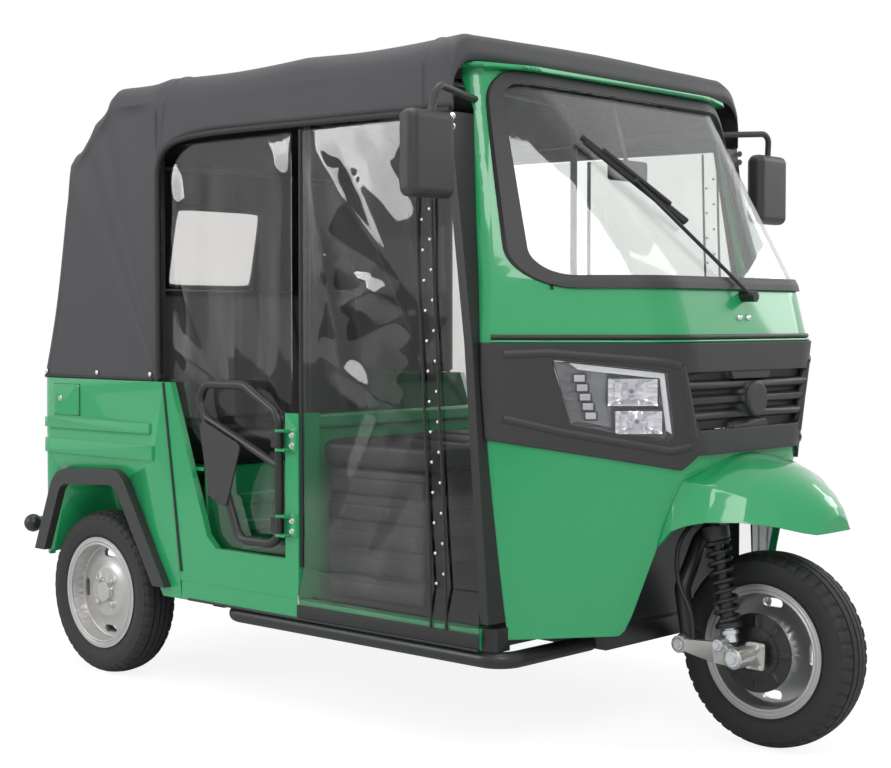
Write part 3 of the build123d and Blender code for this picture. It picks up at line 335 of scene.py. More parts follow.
def round_line(name, points, radius, cyclic=False, order=0, round_steps=3, steps=8):
    """Round curve along a line of points, straight between them or, with an order, smooth."""
    line = bpy.data.curves.new(name, "CURVE")
    line.dimensions, line.bevel_depth, line.bevel_resolution = "3D", radius, round_steps
    line.use_fill_caps = True
    spline = line.splines.new("NURBS" if order else "POLY")
    spline.points.add(len(points) - 1)
    for knot, at in zip(spline.points, points):
        knot.co = (*at, 1.0)
    spline.use_cyclic_u = cyclic
    if order:
        spline.order_u = order
        spline.use_endpoint_u = not cyclic
        spline.resolution_u = steps
    return placed(name, line)


def add_tube(bm, points, radius, **settings):
    """Mesh of a round line, added to a bmesh."""
    holder = round_line("route", points, radius, **settings)
    line = holder.data
    mesh = bpy.data.meshes.new_from_object(holder)
    bm.from_mesh(mesh)
    bpy.data.objects.remove(holder)
    bpy.data.curves.remove(line)
    bpy.data.meshes.remove(mesh)


def facing(at, axis):
    """Matrix that stands a shape made along Z at a place, along an axis."""
    turn = Vector(axis).normalized().to_track_quat("Z", "Y").to_matrix().to_4x4()
    return Matrix.Translation(Vector(at)) @ turn


def add_bolt(bm, at, axis, radius, height):
    """Washer and hexagon head."""
    place = facing(at, axis)
    flat = Matrix.Translation((0, 0, height * 0.15))
    bmesh.ops.create_cone(bm, cap_ends=True, segments=18, radius1=radius * 1.5, radius2=radius * 1.4,
                          depth=height * 0.3, matrix=place @ flat)
    head = Matrix.Translation((0, 0, height * 0.6))
    bmesh.ops.create_cone(bm, cap_ends=True, segments=6, radius1=radius, radius2=radius * 0.92,
                          depth=height * 0.8, matrix=place @ head)


def add_stud(bm, at, axis, radius, height):
    """Low dome, as a press stud or rivet."""
    made = bmesh.ops.create_uvsphere(bm, u_segments=14, v_segments=8, radius=radius)
    squash = Matrix.Diagonal((1, 1, height / radius, 1))
    bmesh.ops.transform(bm, matrix=facing(at, axis) @ squash, verts=made["verts"])


def add_box(bm, low, high, bevel=0.0, segments=3):
    """Block between two corners with rounded edges."""
    low, high = Vector(low), Vector(high)
    place = Matrix.Translation((low + high) / 2) @ Matrix.Diagonal((*(high - low), 1))
    made = bmesh.ops.create_cube(bm, size=1.0, matrix=place)
    if bevel:
        edges = list({edge for vert in made["verts"] for edge in vert.link_edges})
        bmesh.ops.bevel(bm, geom=edges, offset=bevel, offset_type="OFFSET", segments=segments, profile=0.5,
                        affect="EDGES", material=-1, clamp_overlap=True)


def take_in(bm, other):
    """Adds another mesh to this one, and frees it."""
    mesh = bpy.data.meshes.new("part")
    other.to_mesh(mesh)
    other.free()
    bm.from_mesh(mesh)
    bpy.data.meshes.remove(mesh)


def mirrored(bm):
    """Copy of the whole mesh on the other side."""
    made = bmesh.ops.duplicate(bm, geom=bm.verts[:] + bm.edges[:] + bm.faces[:])
    verts = [item for item in made["geom"] if isinstance(item, bmesh.types.BMVert)]
    faces = [item for item in made["geom"] if isinstance(item, bmesh.types.BMFace)]
    bmesh.ops.transform(bm, matrix=Matrix.Diagonal((1, -1, 1, 1)), verts=verts)
    bmesh.ops.reverse_faces(bm, faces=faces)


def skin_of(node_name):
    """Search tree over a solid's skin."""
    mesh = NODES[node_name].data
    return BVHTree.FromPolygons([v.co for v in mesh.vertices], [p.vertices[:] for p in mesh.polygons])


def from_front(skin, y, z):
    """Place and normal where a ray from the front meets a skin, or two Nones."""
    return skin.ray_cast(Vector((3.0, y, z)), Vector((-1, 0, 0)))[:2]


def sheet_grid(columns, rows, place):
    """Grid whose points are set by a function of two shares, across and up."""
    bm = bmesh.new()
    bmesh.ops.create_grid(bm, x_segments=columns, y_segments=rows, size=0.5)
    for vert in bm.verts:
        vert.co = place(vert.co.x + 0.5, vert.co.y + 0.5)
    return bm


def lerp(a, b, t):
    return a + (b - a) * t


def along(stops, value):
    """Value read from a table of stops, straight between them."""
    for (a, p), (b, q) in zip(stops, stops[1:]):
        if value <= b:
            return lerp(p, q, max(0.0, (value - a) / (b - a)))
    return stops[-1][1]


# Solids shown as they are, welded so that their curves shade smooth
for node_name, finish_name in FINISH_OF.items():
    if node_name not in SOFT_OR_REMADE:
        welded = bmesh.new()
        welded.from_mesh(NODES[node_name].data)
        skin = to_piece(welded, node_name + "_skin", finish_name, BODY_OF[node_name],
                        [node_name], smooth=28, merge=2e-5)
        modified(skin, "WEIGHTED_NORMAL", keep_sharp=True)


# Camera at the photograph's place
AZIMUTH, ELEVATION = math.radians(42.611), math.radians(2.1906)
camera_data = bpy.data.cameras.new("photo_camera")
camera_data.lens, camera_data.sensor_width, camera_data.sensor_fit = 67.55, 36.0, "HORIZONTAL"
camera = placed("photo_camera", camera_data)
look = Vector((-math.sin(AZIMUTH) * math.cos(ELEVATION), math.cos(AZIMUTH) * math.cos(ELEVATION),
               -math.sin(ELEVATION)))
camera.location = (3.3261, -3.6778, 1.0860)
camera.rotation_euler = look.to_track_quat("-Z", "Y").to_euler()
SCENE.camera = camera
SCENE.view_settings.view_transform = "Standard"

# Studio: white surround, soft boxes and a pale floor
world = bpy.data.worlds.new("studio")
SCENE.world = world
world.use_nodes = True
sky = world.node_tree
sky.nodes.clear()
rays = add(sky, "LightPath").outputs
seen = maths(sky, "MAXIMUM", rays["Is Camera Ray"], maths(sky, "MAXIMUM", rays["Is Glossy Ray"],
                                                            rays["Is Transmission Ray"]))
lit = add(sky, "Background", Color=(0.94, 0.97, 1.0, 1.0), Strength=0.46)
white = add(sky, "Background", Color=(1.0, 1.0, 1.0, 1.0), Strength=1.0)
choice = mixed_shaders(sky, seen, lit, white)
sky.links.new(choice.outputs[0], add(sky, "OutputWorld").inputs["Surface"])

SoftBox = namedtuple("SoftBox", "name at aim width height watts")
SOFT_BOXES = (
    SoftBox("key_box", (4.2, -3.6, 4.6), (0.4, -0.2, 0.9), 2.6, 2.0, 105.0),
    SoftBox("side_box", (-3.6, -5.2, 3.1), (-0.3, -0.5, 1.0), 2.2, 1.8, 90.0),
    SoftBox("top_box", (-0.2, -0.4, 5.2), (0.0, 0.0, 1.5), 3.6, 2.2, 85.0),
    SoftBox("far_box", (2.2, 5.0, 3.2), (0.2, 0.4, 1.0), 2.4, 1.8, 60.0),
)
for box in SOFT_BOXES:
    lamp = bpy.data.lights.new(box.name, "AREA")
    lamp.shape, lamp.size, lamp.size_y, lamp.energy = "RECTANGLE", box.width, box.height, box.watts
    holder = placed(box.name, lamp)
    holder.location = box.at
    holder.rotation_euler = (Vector(box.aim) - Vector(box.at)).to_track_quat("-Z", "Y").to_euler()

floor_bm = bmesh.new()
bmesh.ops.create_grid(floor_bm, x_segments=2, y_segments=2, size=30.0)
bmesh.ops.translate(floor_bm, vec=(0, 0, -0.001), verts=floor_bm.verts[:])
floor_mesh = bpy.data.meshes.new("floor")
floor_bm.to_mesh(floor_mesh)
floor_bm.free()
floor = placed("floor", floor_mesh)
paper = bpy.data.materials.new("floor_paper")
paper.use_nodes = True
tree = paper.node_tree
tree.nodes.clear()
matt = add(tree, "BsdfDiffuse", Color=(0.90, 0.90, 0.90, 1.0))
glow = add(tree, "Emission", Color=(1.0, 1.0, 1.0, 1.0), Strength=1.26)
rays = add(tree, "LightPath").outputs
looked_at = maths(tree, "MAXIMUM", rays["Is Camera Ray"], rays["Is Transmission Ray"])
both = mixed_shaders(tree, maths(tree, "MULTIPLY", looked_at, 0.70), matt, glow)
tree.links.new(both.outputs[0], add(tree, "OutputMaterial").inputs["Surface"])
floor_mesh.materials.append(paper)


# Hood: one sheet over the bows, turned about the foot of the doorway's rear edge, then run forward
HOOD_FOOT = Vector((-0.620, 0.0, WAIST_Z))
HOOD_PROFILE = ((-1.223, 0.905), (-1.075, 1.606), (-0.863, 1.792), (-0.575, 1.816), (0.120, 1.822),
                (0.470, 1.820), (0.503, 1.815), (0.526, 1.804), (0.543, 1.786), (0.551, 1.762),
                (0.5535, 1.733))
DOOR_EDGE = ((-0.620, 1.508), (-0.606, 1.553), (-0.562, 1.588), (-0.480, 1.610), (-0.394, 1.618),
             (0.700, 1.600))
HOOD_CORNER, HOOD_SHOULDER_Z = 0.086, 1.800
SIDE_ROWS, CORNER_ROWS, TOP_ROWS = 26, 12, 20
EDGE_ROWS = 5


def profile_at(share):
    """Point of the hood's side outline where a ray from its foot meets it; share 0 is level, 1 upright."""
    angle = math.pi * (1.0 - share / 2)
    way = Vector((math.cos(angle), math.sin(angle)))
    for p, q in zip(HOOD_PROFILE, HOOD_PROFILE[1:]):
        p, q = (Vector((x - HOOD_FOOT.x, z - HOOD_FOOT.z)) for x, z in (p, q))
        run = q - p
        cross = way.x * run.y - way.y * run.x
        if abs(cross) < 1e-9:
            continue
        reach = (p.x * run.y - p.y * run.x) / cross
        part = (p.x * way.y - p.y * way.x) / cross
        if reach > 0 and -1e-6 <= part <= 1 + 1e-6:
            return HOOD_FOOT.x + way.x * reach, HOOD_FOOT.z + way.y * reach
    return HOOD_PROFILE[0]


def hood_point(foot, top, turn, row, rows):
    """Point of one section, its rows counted from the lower edge to the middle of the roof."""
    up = Vector((top[0] - foot[0], top[1] - foot[1]))
    high = up.length
    drop = max(0.0, top[1] - HOOD_SHOULDER_Z)
    corner = lerp(0.040, HOOD_CORNER, turn)
    if row <= rows:
        y, h = BODY_HALF, (high - drop - corner) * row / rows
    elif row <= rows + CORNER_ROWS:
        bend = (row - rows) / CORNER_ROWS * math.pi / 2
        y = BODY_HALF - corner * (1 - math.cos(bend))
        h = high - drop - corner * (1 - math.sin(bend))
    else:
        part = (row - rows - CORNER_ROWS) / TOP_ROWS
        y = lerp(BODY_HALF - corner, 0.0, part)
        h = high - drop * (y / (BODY_HALF - corner)) ** 2
    return Vector((foot[0] + up.x / high * h, y, foot[1] + up.y / high * h))


def between_bows(stops, value):
    """0 on a bow and 1 midway between two."""
    for a, b in zip(stops, stops[1:]):
        if a <= value <= b:
            return math.sin(math.pi * (value - a) / (b - a))
    return 0.0


BOW_TURNS = (0.0, 0.633, 0.745, 0.83, 1.0)
BOW_XS = (-0.620, -0.034, 0.520)


def hood_sag(at, turn, row, rows):
    """How far the cloth lies inside its tight form."""
    top = min(1.0, max(0.0, (row - rows * 0.75) / (rows * 0.25 + CORNER_ROWS * 0.5)))
    if turn < 1.0:
        slack = 0.013 * between_bows(BOW_TURNS, turn) * (0.25 + 0.75 * top) * (1.0 if turn > 0.63 else 0.5)
        fold = 0.5 + 0.5 * math.sin(turn * 70 + 3 * noise.noise(at * 3))
        slack += 0.005 * fold * top * max(0.0, 1 - abs(turn - 0.70) / 0.22)
    else:
        slack = 0.010 * between_bows(BOW_XS, at.x) * (0.15 + 0.85 * top)
    slack += 0.003 * (1 + noise.noise(Vector((at.x * 5, at.y * 5, at.z * 2.2)))) * (1 - top * 0.5)
    return slack


def hood_sheet(stations, rows):
    """Grid of sections; each station is foot, top and turn."""
    half = rows + CORNER_ROWS + TOP_ROWS

    def place(across, up):
        foot, top, turn = stations[round(across * (len(stations) - 1))]
        index = round(up * half * 2)
        row = min(index, half * 2 - index)
        at = hood_point(foot, top, turn, row, rows)
        inward = Vector((0, -1, 0))
        if row > rows:
            inward = (Vector((foot[0], 0, foot[1] - 0.02)) - Vector((at.x, 0, at.z))).normalized()
        if rows < row <= rows + CORNER_ROWS:
            inward = (inward + Vector((0, -1, 0))).normalized()
        at += inward * hood_sag(at, turn, row, rows)
        return Vector((at.x, -at.y if index <= half else at.y, at.z))

    return sheet_grid(len(stations) - 1, half * 2, place)


PANE_HALF, PANE_LOW, PANE_HIGH = 0.19, 1.195, 1.462


def middle(face):
    return face.calc_center_median()


def on_back(face, half):
    """Whether a face lies on the hood's back, within half a width."""
    return middle(face).x < -1.0 and abs(middle(face).y) < half


def cut_faces(bm, faces, at, normal, dist):
    """New edges where a plane crosses some faces."""
    verts = list({v for f in faces for v in f.verts})
    edges = list({e for f in faces for e in f.edges})
    bmesh.ops.bisect_plane(bm, geom=verts + edges + faces, dist=dist, plane_co=at, plane_no=normal)


def hood_cover():
    """Rear quarter and roof joined, with the rear window cut and seams raised."""
    turns = 56
    rear = [((HOOD_FOOT.x, HOOD_FOOT.z), profile_at(i / turns), min(i / turns, 0.9999))
            for i in range(turns + 1)]
    xs = [lerp(-0.620, 0.470, i / 60) for i in range(61)] + [x for x, _ in HOOD_PROFILE[6:]]
    roof_line = HOOD_PROFILE[2:]
    roof = [((x, along(DOOR_EDGE, x)), (x, along(roof_line, x)), 1.0) for x in xs]
    bm = hood_sheet(rear, SIDE_ROWS)
    take_in(bm, hood_sheet(roof, EDGE_ROWS))
    bmesh.ops.remove_doubles(bm, verts=bm.verts[:], dist=0.0015)
    for at, normal in (((0, -PANE_HALF, 0), (0, 1, 0)), ((0, PANE_HALF, 0), (0, 1, 0)),
                       ((0, 0, PANE_LOW), (0, 0, 1)), ((0, 0, PANE_HIGH), (0, 0, 1))):
        cut_faces(bm, [f for f in bm.faces if on_back(f, 0.5)], at, normal, 1e-5)
    pane = [f for f in bm.faces if on_back(f, PANE_HALF) and PANE_LOW < middle(f).z < PANE_HIGH]
    bmesh.ops.delete(bm, geom=pane, context="FACES")
    raise_seam(bm, Vector((-0.628, 0, 1.5)), Vector((1, 0, -0.22)).normalized())
    raise_seam(bm, Vector((0.452, 0, 1.5)), Vector((1, 0, 0)))
    bmesh.ops.recalc_face_normals(bm, faces=bm.faces[:])
    crown = max(bm.faces, key=lambda f: middle(f).z)
    if crown.normal.z < 0:
        bmesh.ops.reverse_faces(bm, faces=bm.faces[:])
    return bm


WELT_HALF, WELT_HIGH = 0.006, 0.003


def raise_seam(bm, at, normal):
    """Welt over the roof where a plane cuts it."""
    for step in (-WELT_HALF, 0.0, WELT_HALF):
        cut_faces(bm, [f for f in bm.faces if middle(f).z > 1.45], at + normal * step, normal, 1e-6)
    for vert in bm.verts:
        if abs((vert.co - at).dot(normal)) < 1e-4 and vert.co.z > 1.52:
            out = Vector((0, math.copysign(1, vert.co.y), 0)) if vert.co.z < 1.73 else Vector((0, 0, 1))
            vert.co += out * WELT_HIGH


hood = to_piece(hood_cover(), "hood_cover", "hood_cloth", stands_for=["hood"], smooth=50,
                merge=0, outward=False)
hood.data.materials.append(FINISHES["hood_lining"])
modified(hood, "SOLIDIFY", thickness=0.0022, offset=-1.0, use_rim=True, material_offset=1)

# Binding along the doorway edge, the hood's hem, the rear window's ring and the press studs
DOOR_BINDING = ((-0.620, 0.912), (-0.620, 1.20), (-0.620, 1.47), (-0.619, 1.540), (-0.575, 1.594),
                (-0.47, 1.612), (-0.30, 1.615), (0.10, 1.609), (0.545, 1.602))
bind = bmesh.new()
for side in (-1, 1):
    y = side * (BODY_HALF - 0.004)
    add_tube(bind, [(x, y, z) for x, z in DOOR_BINDING], 0.0085, order=3)
    add_tube(bind, [(-0.640, y + side * 0.002, 0.911), (-1.16, y + side * 0.002, 0.911),
                    (-1.212, y, 0.911), (-1.221, y - side * 0.04, 0.911)], 0.0035, order=3)
add_tube(bind, [(-1.220, -0.60, 0.911), (-1.220, 0.60, 0.911)], 0.0035)
window = [(-PANE_HALF, PANE_LOW), (PANE_HALF, PANE_LOW), (PANE_HALF, PANE_HIGH), (-PANE_HALF, PANE_HIGH)]
ring = []
for i, (y, z) in enumerate(window):
    for share in (0.05, 0.5, 0.95):
        y1, z1 = window[(i + 1) % 4]
        z2 = lerp(z, z1, share)
        ring.append((-1.223 + (z2 - 0.905) * 0.148 / 0.701 + 0.004, lerp(y, y1, share), z2))
add_tube(bind, ring, 0.010, cyclic=True, order=3)
to_piece(bind, "hood_bindings", "hood_binding", smooth=60)

studs = bmesh.new()
for side in (-1, 1):
    for x in (-1.182, -0.916, -0.653):
        add_stud(studs, (x, side * 0.6405, 0.926), (0, side, 0), 0.0075, 0.004)
for y in (-0.5, -0.25, 0.0, 0.25, 0.5):
    add_stud(studs, (-1.2215, y, 0.926), (-1, 0, 0.2), 0.0075, 0.004)
to_piece(studs, "hood_studs", "bright_steel", smooth=60)


# Curtains: clear film with folds, pulled creases, a dark hem and a zip
Crease = namedtuple("Crease", "x0 z0 x1 z1 height width")
FRONT_CREASES = (
    Crease(-0.04, 1.66, 0.42, 1.14, 0.024, 0.072), Crease(0.10, 1.60, 0.30, 1.30, -0.010, 0.030),
    Crease(0.02, 1.56, 0.16, 0.92, 0.010, 0.036), Crease(0.12, 1.24, 0.40, 1.10, 0.012, 0.030),
    Crease(0.18, 1.02, 0.42, 1.12, -0.009, 0.034), Crease(0.10, 0.98, 0.36, 0.86, 0.011, 0.026),
    Crease(0.34, 0.92, 0.10, 0.46, 0.011, 0.026), Crease(0.42, 0.80, 0.20, 0.42, -0.008, 0.030),
    Crease(0.54, 1.40, 0.58, 0.70, -0.005, 0.030), Crease(0.16, 1.13, 0.32, 1.16, 0.007, 0.016),
)
REAR_CREASES = (
    Crease(-0.10, 1.60, -0.12, 0.90, 0.006, 0.026), Crease(-0.19, 1.61, -0.22, 0.70, -0.005, 0.030),
    Crease(-0.30, 1.60, -0.30, 0.50, 0.006, 0.026), Crease(-0.42, 1.58, -0.36, 0.80, -0.005, 0.034),
    Crease(-0.62, 1.40, -0.40, 0.90, 0.012, 0.036), Crease(-0.62, 1.56, -0.50, 1.30, 0.008, 0.030),
    Crease(-0.20, 1.62, -0.06, 1.42, 0.010, 0.030), Crease(-0.60, 1.02, -0.40, 0.92, 0.009, 0.024),
)


def creased(creases, x, z):
    total = 0.0
    for c in creases:
        run = Vector((c.x1 - c.x0, c.z1 - c.z0))
        to = Vector((x - c.x0, z - c.z0))
        part = to.dot(run) / run.length_squared
        fade = max(0.0, 1 - abs(part - 0.5) * 1.5) if -0.17 < part < 1.17 else 0.0
        off = (to - run * part).length
        total += c.height * fade * max(0.0, 1 - off / (2.2 * c.width)) ** 1.3
    return total


FRONT_Y, REAR_Y, FILM_TOP = 0.6295, 0.6080, 1.596
# Height from which the front film runs out over the sill, in how much height, and its gap there
FILM_LEAVES, FILM_RUN, FILM_GAP = 0.420, 0.080, 0.0035


def film(side, low_x, high_x, z0, y, creases, pleat, swell, seed):
    """Hanging sheet between two edges given as tables of height."""
    def place(across, up):
        z = lerp(z0, FILM_TOP, up)
        x = lerp(along(low_x, z), along(high_x, z), across)
        held = min(1.0, across * 9, (1 - across) * 9) * min(1.0, (1 - up) * 12) * min(1.0, 0.35 + up * 6)
        wave = pleat * math.sin(x * 46 + 3.0 * noise.noise(Vector((x * 2, seed, z * 1.0))))
        crumple = 0.0012 * noise.noise(Vector((x * 9, seed + 4, z * 4.5)))
        belly = swell * math.sin(math.pi * across) * math.sin(math.pi * up)
        out = held * (wave + creased(creases, x, z) + crumple + belly)
        over = 0.0
        if z0 < SILL_TOP:
            over = max(0.0, BODY_HALF + FILM_GAP - y) * min(1.0, max(0.0, (FILM_LEAVES - z) / FILM_RUN))
        return Vector((x, side * (y + out * (1 - over * 70) + over), z))
    return sheet_grid(84, 170, place)


FRONT_LOW_X = ((0.0, B_POST_X + 0.028), (2.0, B_POST_X + 0.028))
FRONT_HIGH_X = ((0.330, 0.6465), (0.345, 0.6465), (1.030, 0.5935), (1.626, 0.5177))
REAR_LOW_X = ((0.330, -0.418), (0.690, -0.418), (0.913, -0.643), (1.626, -0.643))
REAR_HIGH_X = ((0.0, B_POST_X - 0.032), (2.0, B_POST_X - 0.032))


ZIP_LINE = ((0.42, 0.508), (0.90, 0.482), (1.30, 0.458), (1.592, 0.452))
for label, side in SIDES:
    bm = film(side, FRONT_LOW_X, FRONT_HIGH_X, 0.294, FRONT_Y, FRONT_CREASES, 0.0006, 0.004, 1.7)
    front = to_piece(bm, "front_film_" + label, "curtain_film", stands_for=["front_curtains"],
                     smooth=80)
    modified(front, "SOLIDIFY", thickness=0.0010, offset=0.0)
    trim = bmesh.new()
    for table, thick in ((FRONT_LOW_X, 0.006), (FRONT_HIGH_X, 0.007)):
        zs = [FILM_LEAVES] + [z for z, _ in table if FILM_LEAVES < z < FILM_TOP] + [FILM_TOP]
        add_tube(trim, [(along(table, z), side * FRONT_Y, z) for z in zs], thick)
    add_box(trim, (B_POST_X + 0.024, side * 0.6425, 0.284), (0.646, side * 0.6455, 0.318), 0.0012, 2)
    hem = to_piece(trim, "front_film_edge_" + label, "hood_binding", smooth=60)
    zip_bm = bmesh.new()
    for shift in (-0.026, 0.026):
        add_tube(zip_bm, [(0.452 + shift, side * 0.637, 1.592), (0.458 + shift, side * 0.6385, 1.30),
                          (0.482 + shift, side * 0.6385, 0.90), (0.508 + shift, side * 0.637, 0.420),
                          (0.512 + shift, side * 0.6455, 0.318)], 0.0035, order=3)
    zipper = to_piece(zip_bm, "front_film_zip_" + label, "hood_binding", smooth=60)
    stud_bm = bmesh.new()
    for i in range(15):
        z = lerp(0.44, 1.50, i / 14)
        for shift in (-0.012, 0.014):
            x = along(ZIP_LINE, z + shift)
            add_stud(stud_bm, (x + shift, side * 0.634, z + shift), (0, side, 0), 0.0045, 0.0035)
    pins = to_piece(stud_bm, "front_film_studs_" + label, "bright_steel", smooth=60)
    bm = film(side, REAR_LOW_X, REAR_HIGH_X, 0.332, REAR_Y, REAR_CREASES, 0.0016, 0.001, 5.3)
    rear = to_piece(bm, "rear_film_" + label, "curtain_film",
                    stands_for=["rear_curtain_" + label], smooth=80)
    modified(rear, "SOLIDIFY", thickness=0.0010, offset=0.0)
    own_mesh(rear)


# Tyres with ribs, grooves and shoulder slots
TREAD = ((0.048, 0.1535), (0.048, 0.1714), (0.0515, 0.1775), (0.0535, 0.1790), (0.0538, 0.1815),
         (0.0552, 0.1865), (0.0578, 0.1960), (0.0590, 0.2070), (0.0583, 0.2180), (0.0566, 0.2262),
         (0.0568, 0.2280), (0.0545, 0.2312), (0.0512, 0.2372), (0.0462, 0.2412), (0.0400, 0.2438),
         (0.0335, 0.2459), (0.0322, 0.2463), (0.0315, 0.2405), (0.0275, 0.2405), (0.0268, 0.2473),
         (0.0180, 0.2486), (0.0118, 0.2491), (0.0112, 0.2432), (0.0075, 0.2432), (0.0068, 0.2497),
         (0.0, 0.2500))
SPIN_STEPS = 230
SHOULDER_SLOT, RIB_SLOT = 0.0045, 0.0022


def tyre(name, at, body, node_name):
    bm = bmesh.new()
    points = list(TREAD) + [(-y, r) for y, r in reversed(TREAD[:-1])]
    verts = [bm.verts.new((0, y, r)) for y, r in points]
    edges = [bm.edges.new((a, b)) for a, b in zip(verts, verts[1:] + verts[:1])]
    bmesh.ops.spin(bm, geom=verts + edges, cent=(0, 0, 0), axis=(0, 1, 0), dvec=(0, 0, 0), angle=2 * math.pi,
                   steps=SPIN_STEPS, use_merge=True, use_normal_flip=False, use_duplicate=False)
    for vert in bm.verts:
        step = round(math.atan2(vert.co.x, vert.co.z) / (2 * math.pi) * SPIN_STEPS) % SPIN_STEPS
        reach = math.hypot(vert.co.x, vert.co.z)
        wide = abs(vert.co.y)
        cut = 0.0
        if step % 5 == 0 and 0.0330 < wide < 0.0552 and reach > 0.2290:
            cut = SHOULDER_SLOT
        elif (step + 2) % 5 == 0 and 0.0150 < wide < 0.0262 and reach > 0.2460:
            cut = RIB_SLOT
        if cut:
            vert.co.x *= 1 - cut / reach
            vert.co.z *= 1 - cut / reach
    bmesh.ops.translate(bm, vec=at, verts=bm.verts[:])
    to_piece(bm, name, "tyre_rubber", body, [node_name], smooth=32)


REAR_HUBS = {label: Vector((REAR_AXLE_X, side * HUB_Y, 0.250)) for label, side in SIDES}
tyre("front_tread", FRONT_AXLE, "front_wheel", "front_tyre")
for label, hub in REAR_HUBS.items():
    tyre("rear_tread_" + label, hub, "rear_wheel_" + label, "rear_tyre_" + label)


# Seats
SEAT_CHANNELS = [y * 0.16 - 0.40 for y in range(6)]


def cushion(name, low, high, turn, node_name, crown):
    """Stuffed pad: rounded block, crowned, its sides drawn in, with sewn channels across its face."""
    low, high = Vector(low), Vector(high)
    centre, half = (low + high) / 2, (high - low) / 2
    bm = bmesh.new()
    add_box(bm, -half, half, min(half) * 0.55, 4)
    mesh = bpy.data.meshes.new(name)
    bm.to_mesh(mesh)
    bm.free()
    block = placed(name, mesh)
    modified(block, "REMESH", mode="VOXEL", voxel_size=0.011)
    bpy.context.view_layer.update()
    soft = bpy.data.meshes.new_from_object(block.evaluated_get(bpy.context.evaluated_depsgraph_get()))
    bpy.data.objects.remove(block)
    bm = bmesh.new()
    bm.from_mesh(soft)
    bpy.data.meshes.remove(soft)
    for vert in bm.verts:
        a, b, c = (vert.co[i] / half[i] for i in range(3))
        face = max(0.0, c)
        sewn = sum(math.exp(-((vert.co.y - y) / 0.010) ** 2) for y in SEAT_CHANNELS)
        lift = crown * (1 - a * a) * (1 - b * b) - 0.010 * sewn * (1 - a ** 4)
        puff = 0.5 + 0.5 * math.cos((vert.co.y - SEAT_CHANNELS[0]) * 2 * math.pi / 0.16)
        vert.co.z += face * (lift - 0.012 + 0.004 * (1 - puff))
        vert.co.x -= math.copysign(0.008 * (1 - b * b) * abs(a) ** 3, a)
        vert.co += Vector((0, 0, 0.0025)) * face * noise.noise(vert.co * 9)
    bmesh.ops.smooth_vert(bm, verts=bm.verts[:], factor=0.5, use_axis_x=True, use_axis_y=True,
                          use_axis_z=True)
    place = Matrix.Translation(centre) @ Matrix.Rotation(turn, 4, "Y")
    bmesh.ops.transform(bm, matrix=place, verts=bm.verts[:])
    made = to_piece(bm, name, "seat_leathercloth", stands_for=[node_name], smooth=60)


cushion("passenger_cushion", (-0.900, -0.555, DECK_Z + 0.011), (-0.402, 0.555, DECK_Z + 0.130), 0.0,
        "passenger_seat", 0.012)
cushion("passenger_backrest", (-1.259, -0.555, 0.8728), (-0.729, 0.555, 0.9828), math.radians(81),
        "passenger_seat", 0.012)
cushion("driver_cushion", (0.008, -0.573, 0.692), (0.414, 0.573, 0.773), 0.0, "driver_seat", 0.010)
base = bmesh.new()
add_box(base, (0.026, -0.560, FLOOR_TOP), (0.386, 0.560, 0.690), 0.012)
for rib in range(5):
    z = FLOOR_TOP + 0.046 + rib * 0.070
    add_box(base, (0.030, -0.567, z - 0.024), (0.386, 0.567, z + 0.024), 0.009)
to_piece(base, "driver_seat_base", "moulded_charcoal", stands_for=["driver_seat"], merge=0)

# Spring leg: damper, coil and clevis; and the brake hose beside it
SHOCK_LOW, SHOCK_TOP = Vector((1.030, -0.128, 0.305)), Vector((0.980, -0.122, 0.572))
leg = (SHOCK_TOP - SHOCK_LOW).length
stand = facing(SHOCK_LOW, SHOCK_TOP - SHOCK_LOW)


def leg_parts(parts):
    """Turned pieces on the spring leg's line: from, to and the two radii."""
    bm = bmesh.new()
    for low, high, first, second in parts:
        bmesh.ops.create_cone(bm, cap_ends=True, segments=28, radius1=first, radius2=second, depth=high - low,
                              matrix=stand @ Matrix.Translation((0, 0, (low + high) / 2)))
    return bm


damper = leg_parts(((-0.012, leg, 0.014, 0.014), (0.010, 0.022, 0.034, 0.034), (0.022, 0.030, 0.030, 0.024),
                    (0.030, 0.120, 0.019, 0.019), (leg - 0.034, leg - 0.006, 0.034, 0.034),
                    (leg - 0.052, leg - 0.034, 0.026, 0.032)))
COIL_TURNS, COIL_STEPS = 8.5, 18
coil = []
for i in range(int(COIL_TURNS * COIL_STEPS) + 1):
    angle = 2 * math.pi * i / COIL_STEPS
    up = lerp(0.028, leg - 0.038, i / (COIL_TURNS * COIL_STEPS))
    coil.append(stand @ Vector((0.0285 * math.cos(angle), 0.0285 * math.sin(angle), up)))
add_tube(damper, coil, 0.0056, round_steps=2)
to_piece(damper, "spring_leg", "frame_black", "steering", ["shock_absorber"], smooth=40)
clevis = leg_parts(((-0.026, 0.010, 0.020, 0.017), (-0.006, 0.004, 0.024, 0.024)))
for at in ((1.030, -0.1835, 0.279), (0.911, -0.1815, 0.265)):
    add_bolt(clevis, at, (0, -1, 0), 0.010, 0.010)
for x in (1.076, 1.114):
    for z in (0.224, 0.276):
        add_bolt(clevis, (x, -0.1155, z), (0, -1, 0), 0.0055, 0.007)
add_bolt(clevis, (1.075, -0.1845, 0.250), (0, -1, 0), 0.014, 0.012)
to_piece(clevis, "leg_clevis", "zinc_plate", "steering", smooth=40)

HOSE_ROUTE = ((0.930, -0.066, 0.586), (0.906, -0.170, 0.562), (0.896, -0.176, 0.430), (0.950, -0.171, 0.345),
              (0.950, -0.171, 0.2813))
hose = round_line("brake_hose_line", HOSE_ROUTE, 0.006, order=3, round_steps=4, steps=12)
hose.data.materials.append(FINISHES["seal_rubber"])
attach(hose, "steering")
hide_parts("brake_hose")

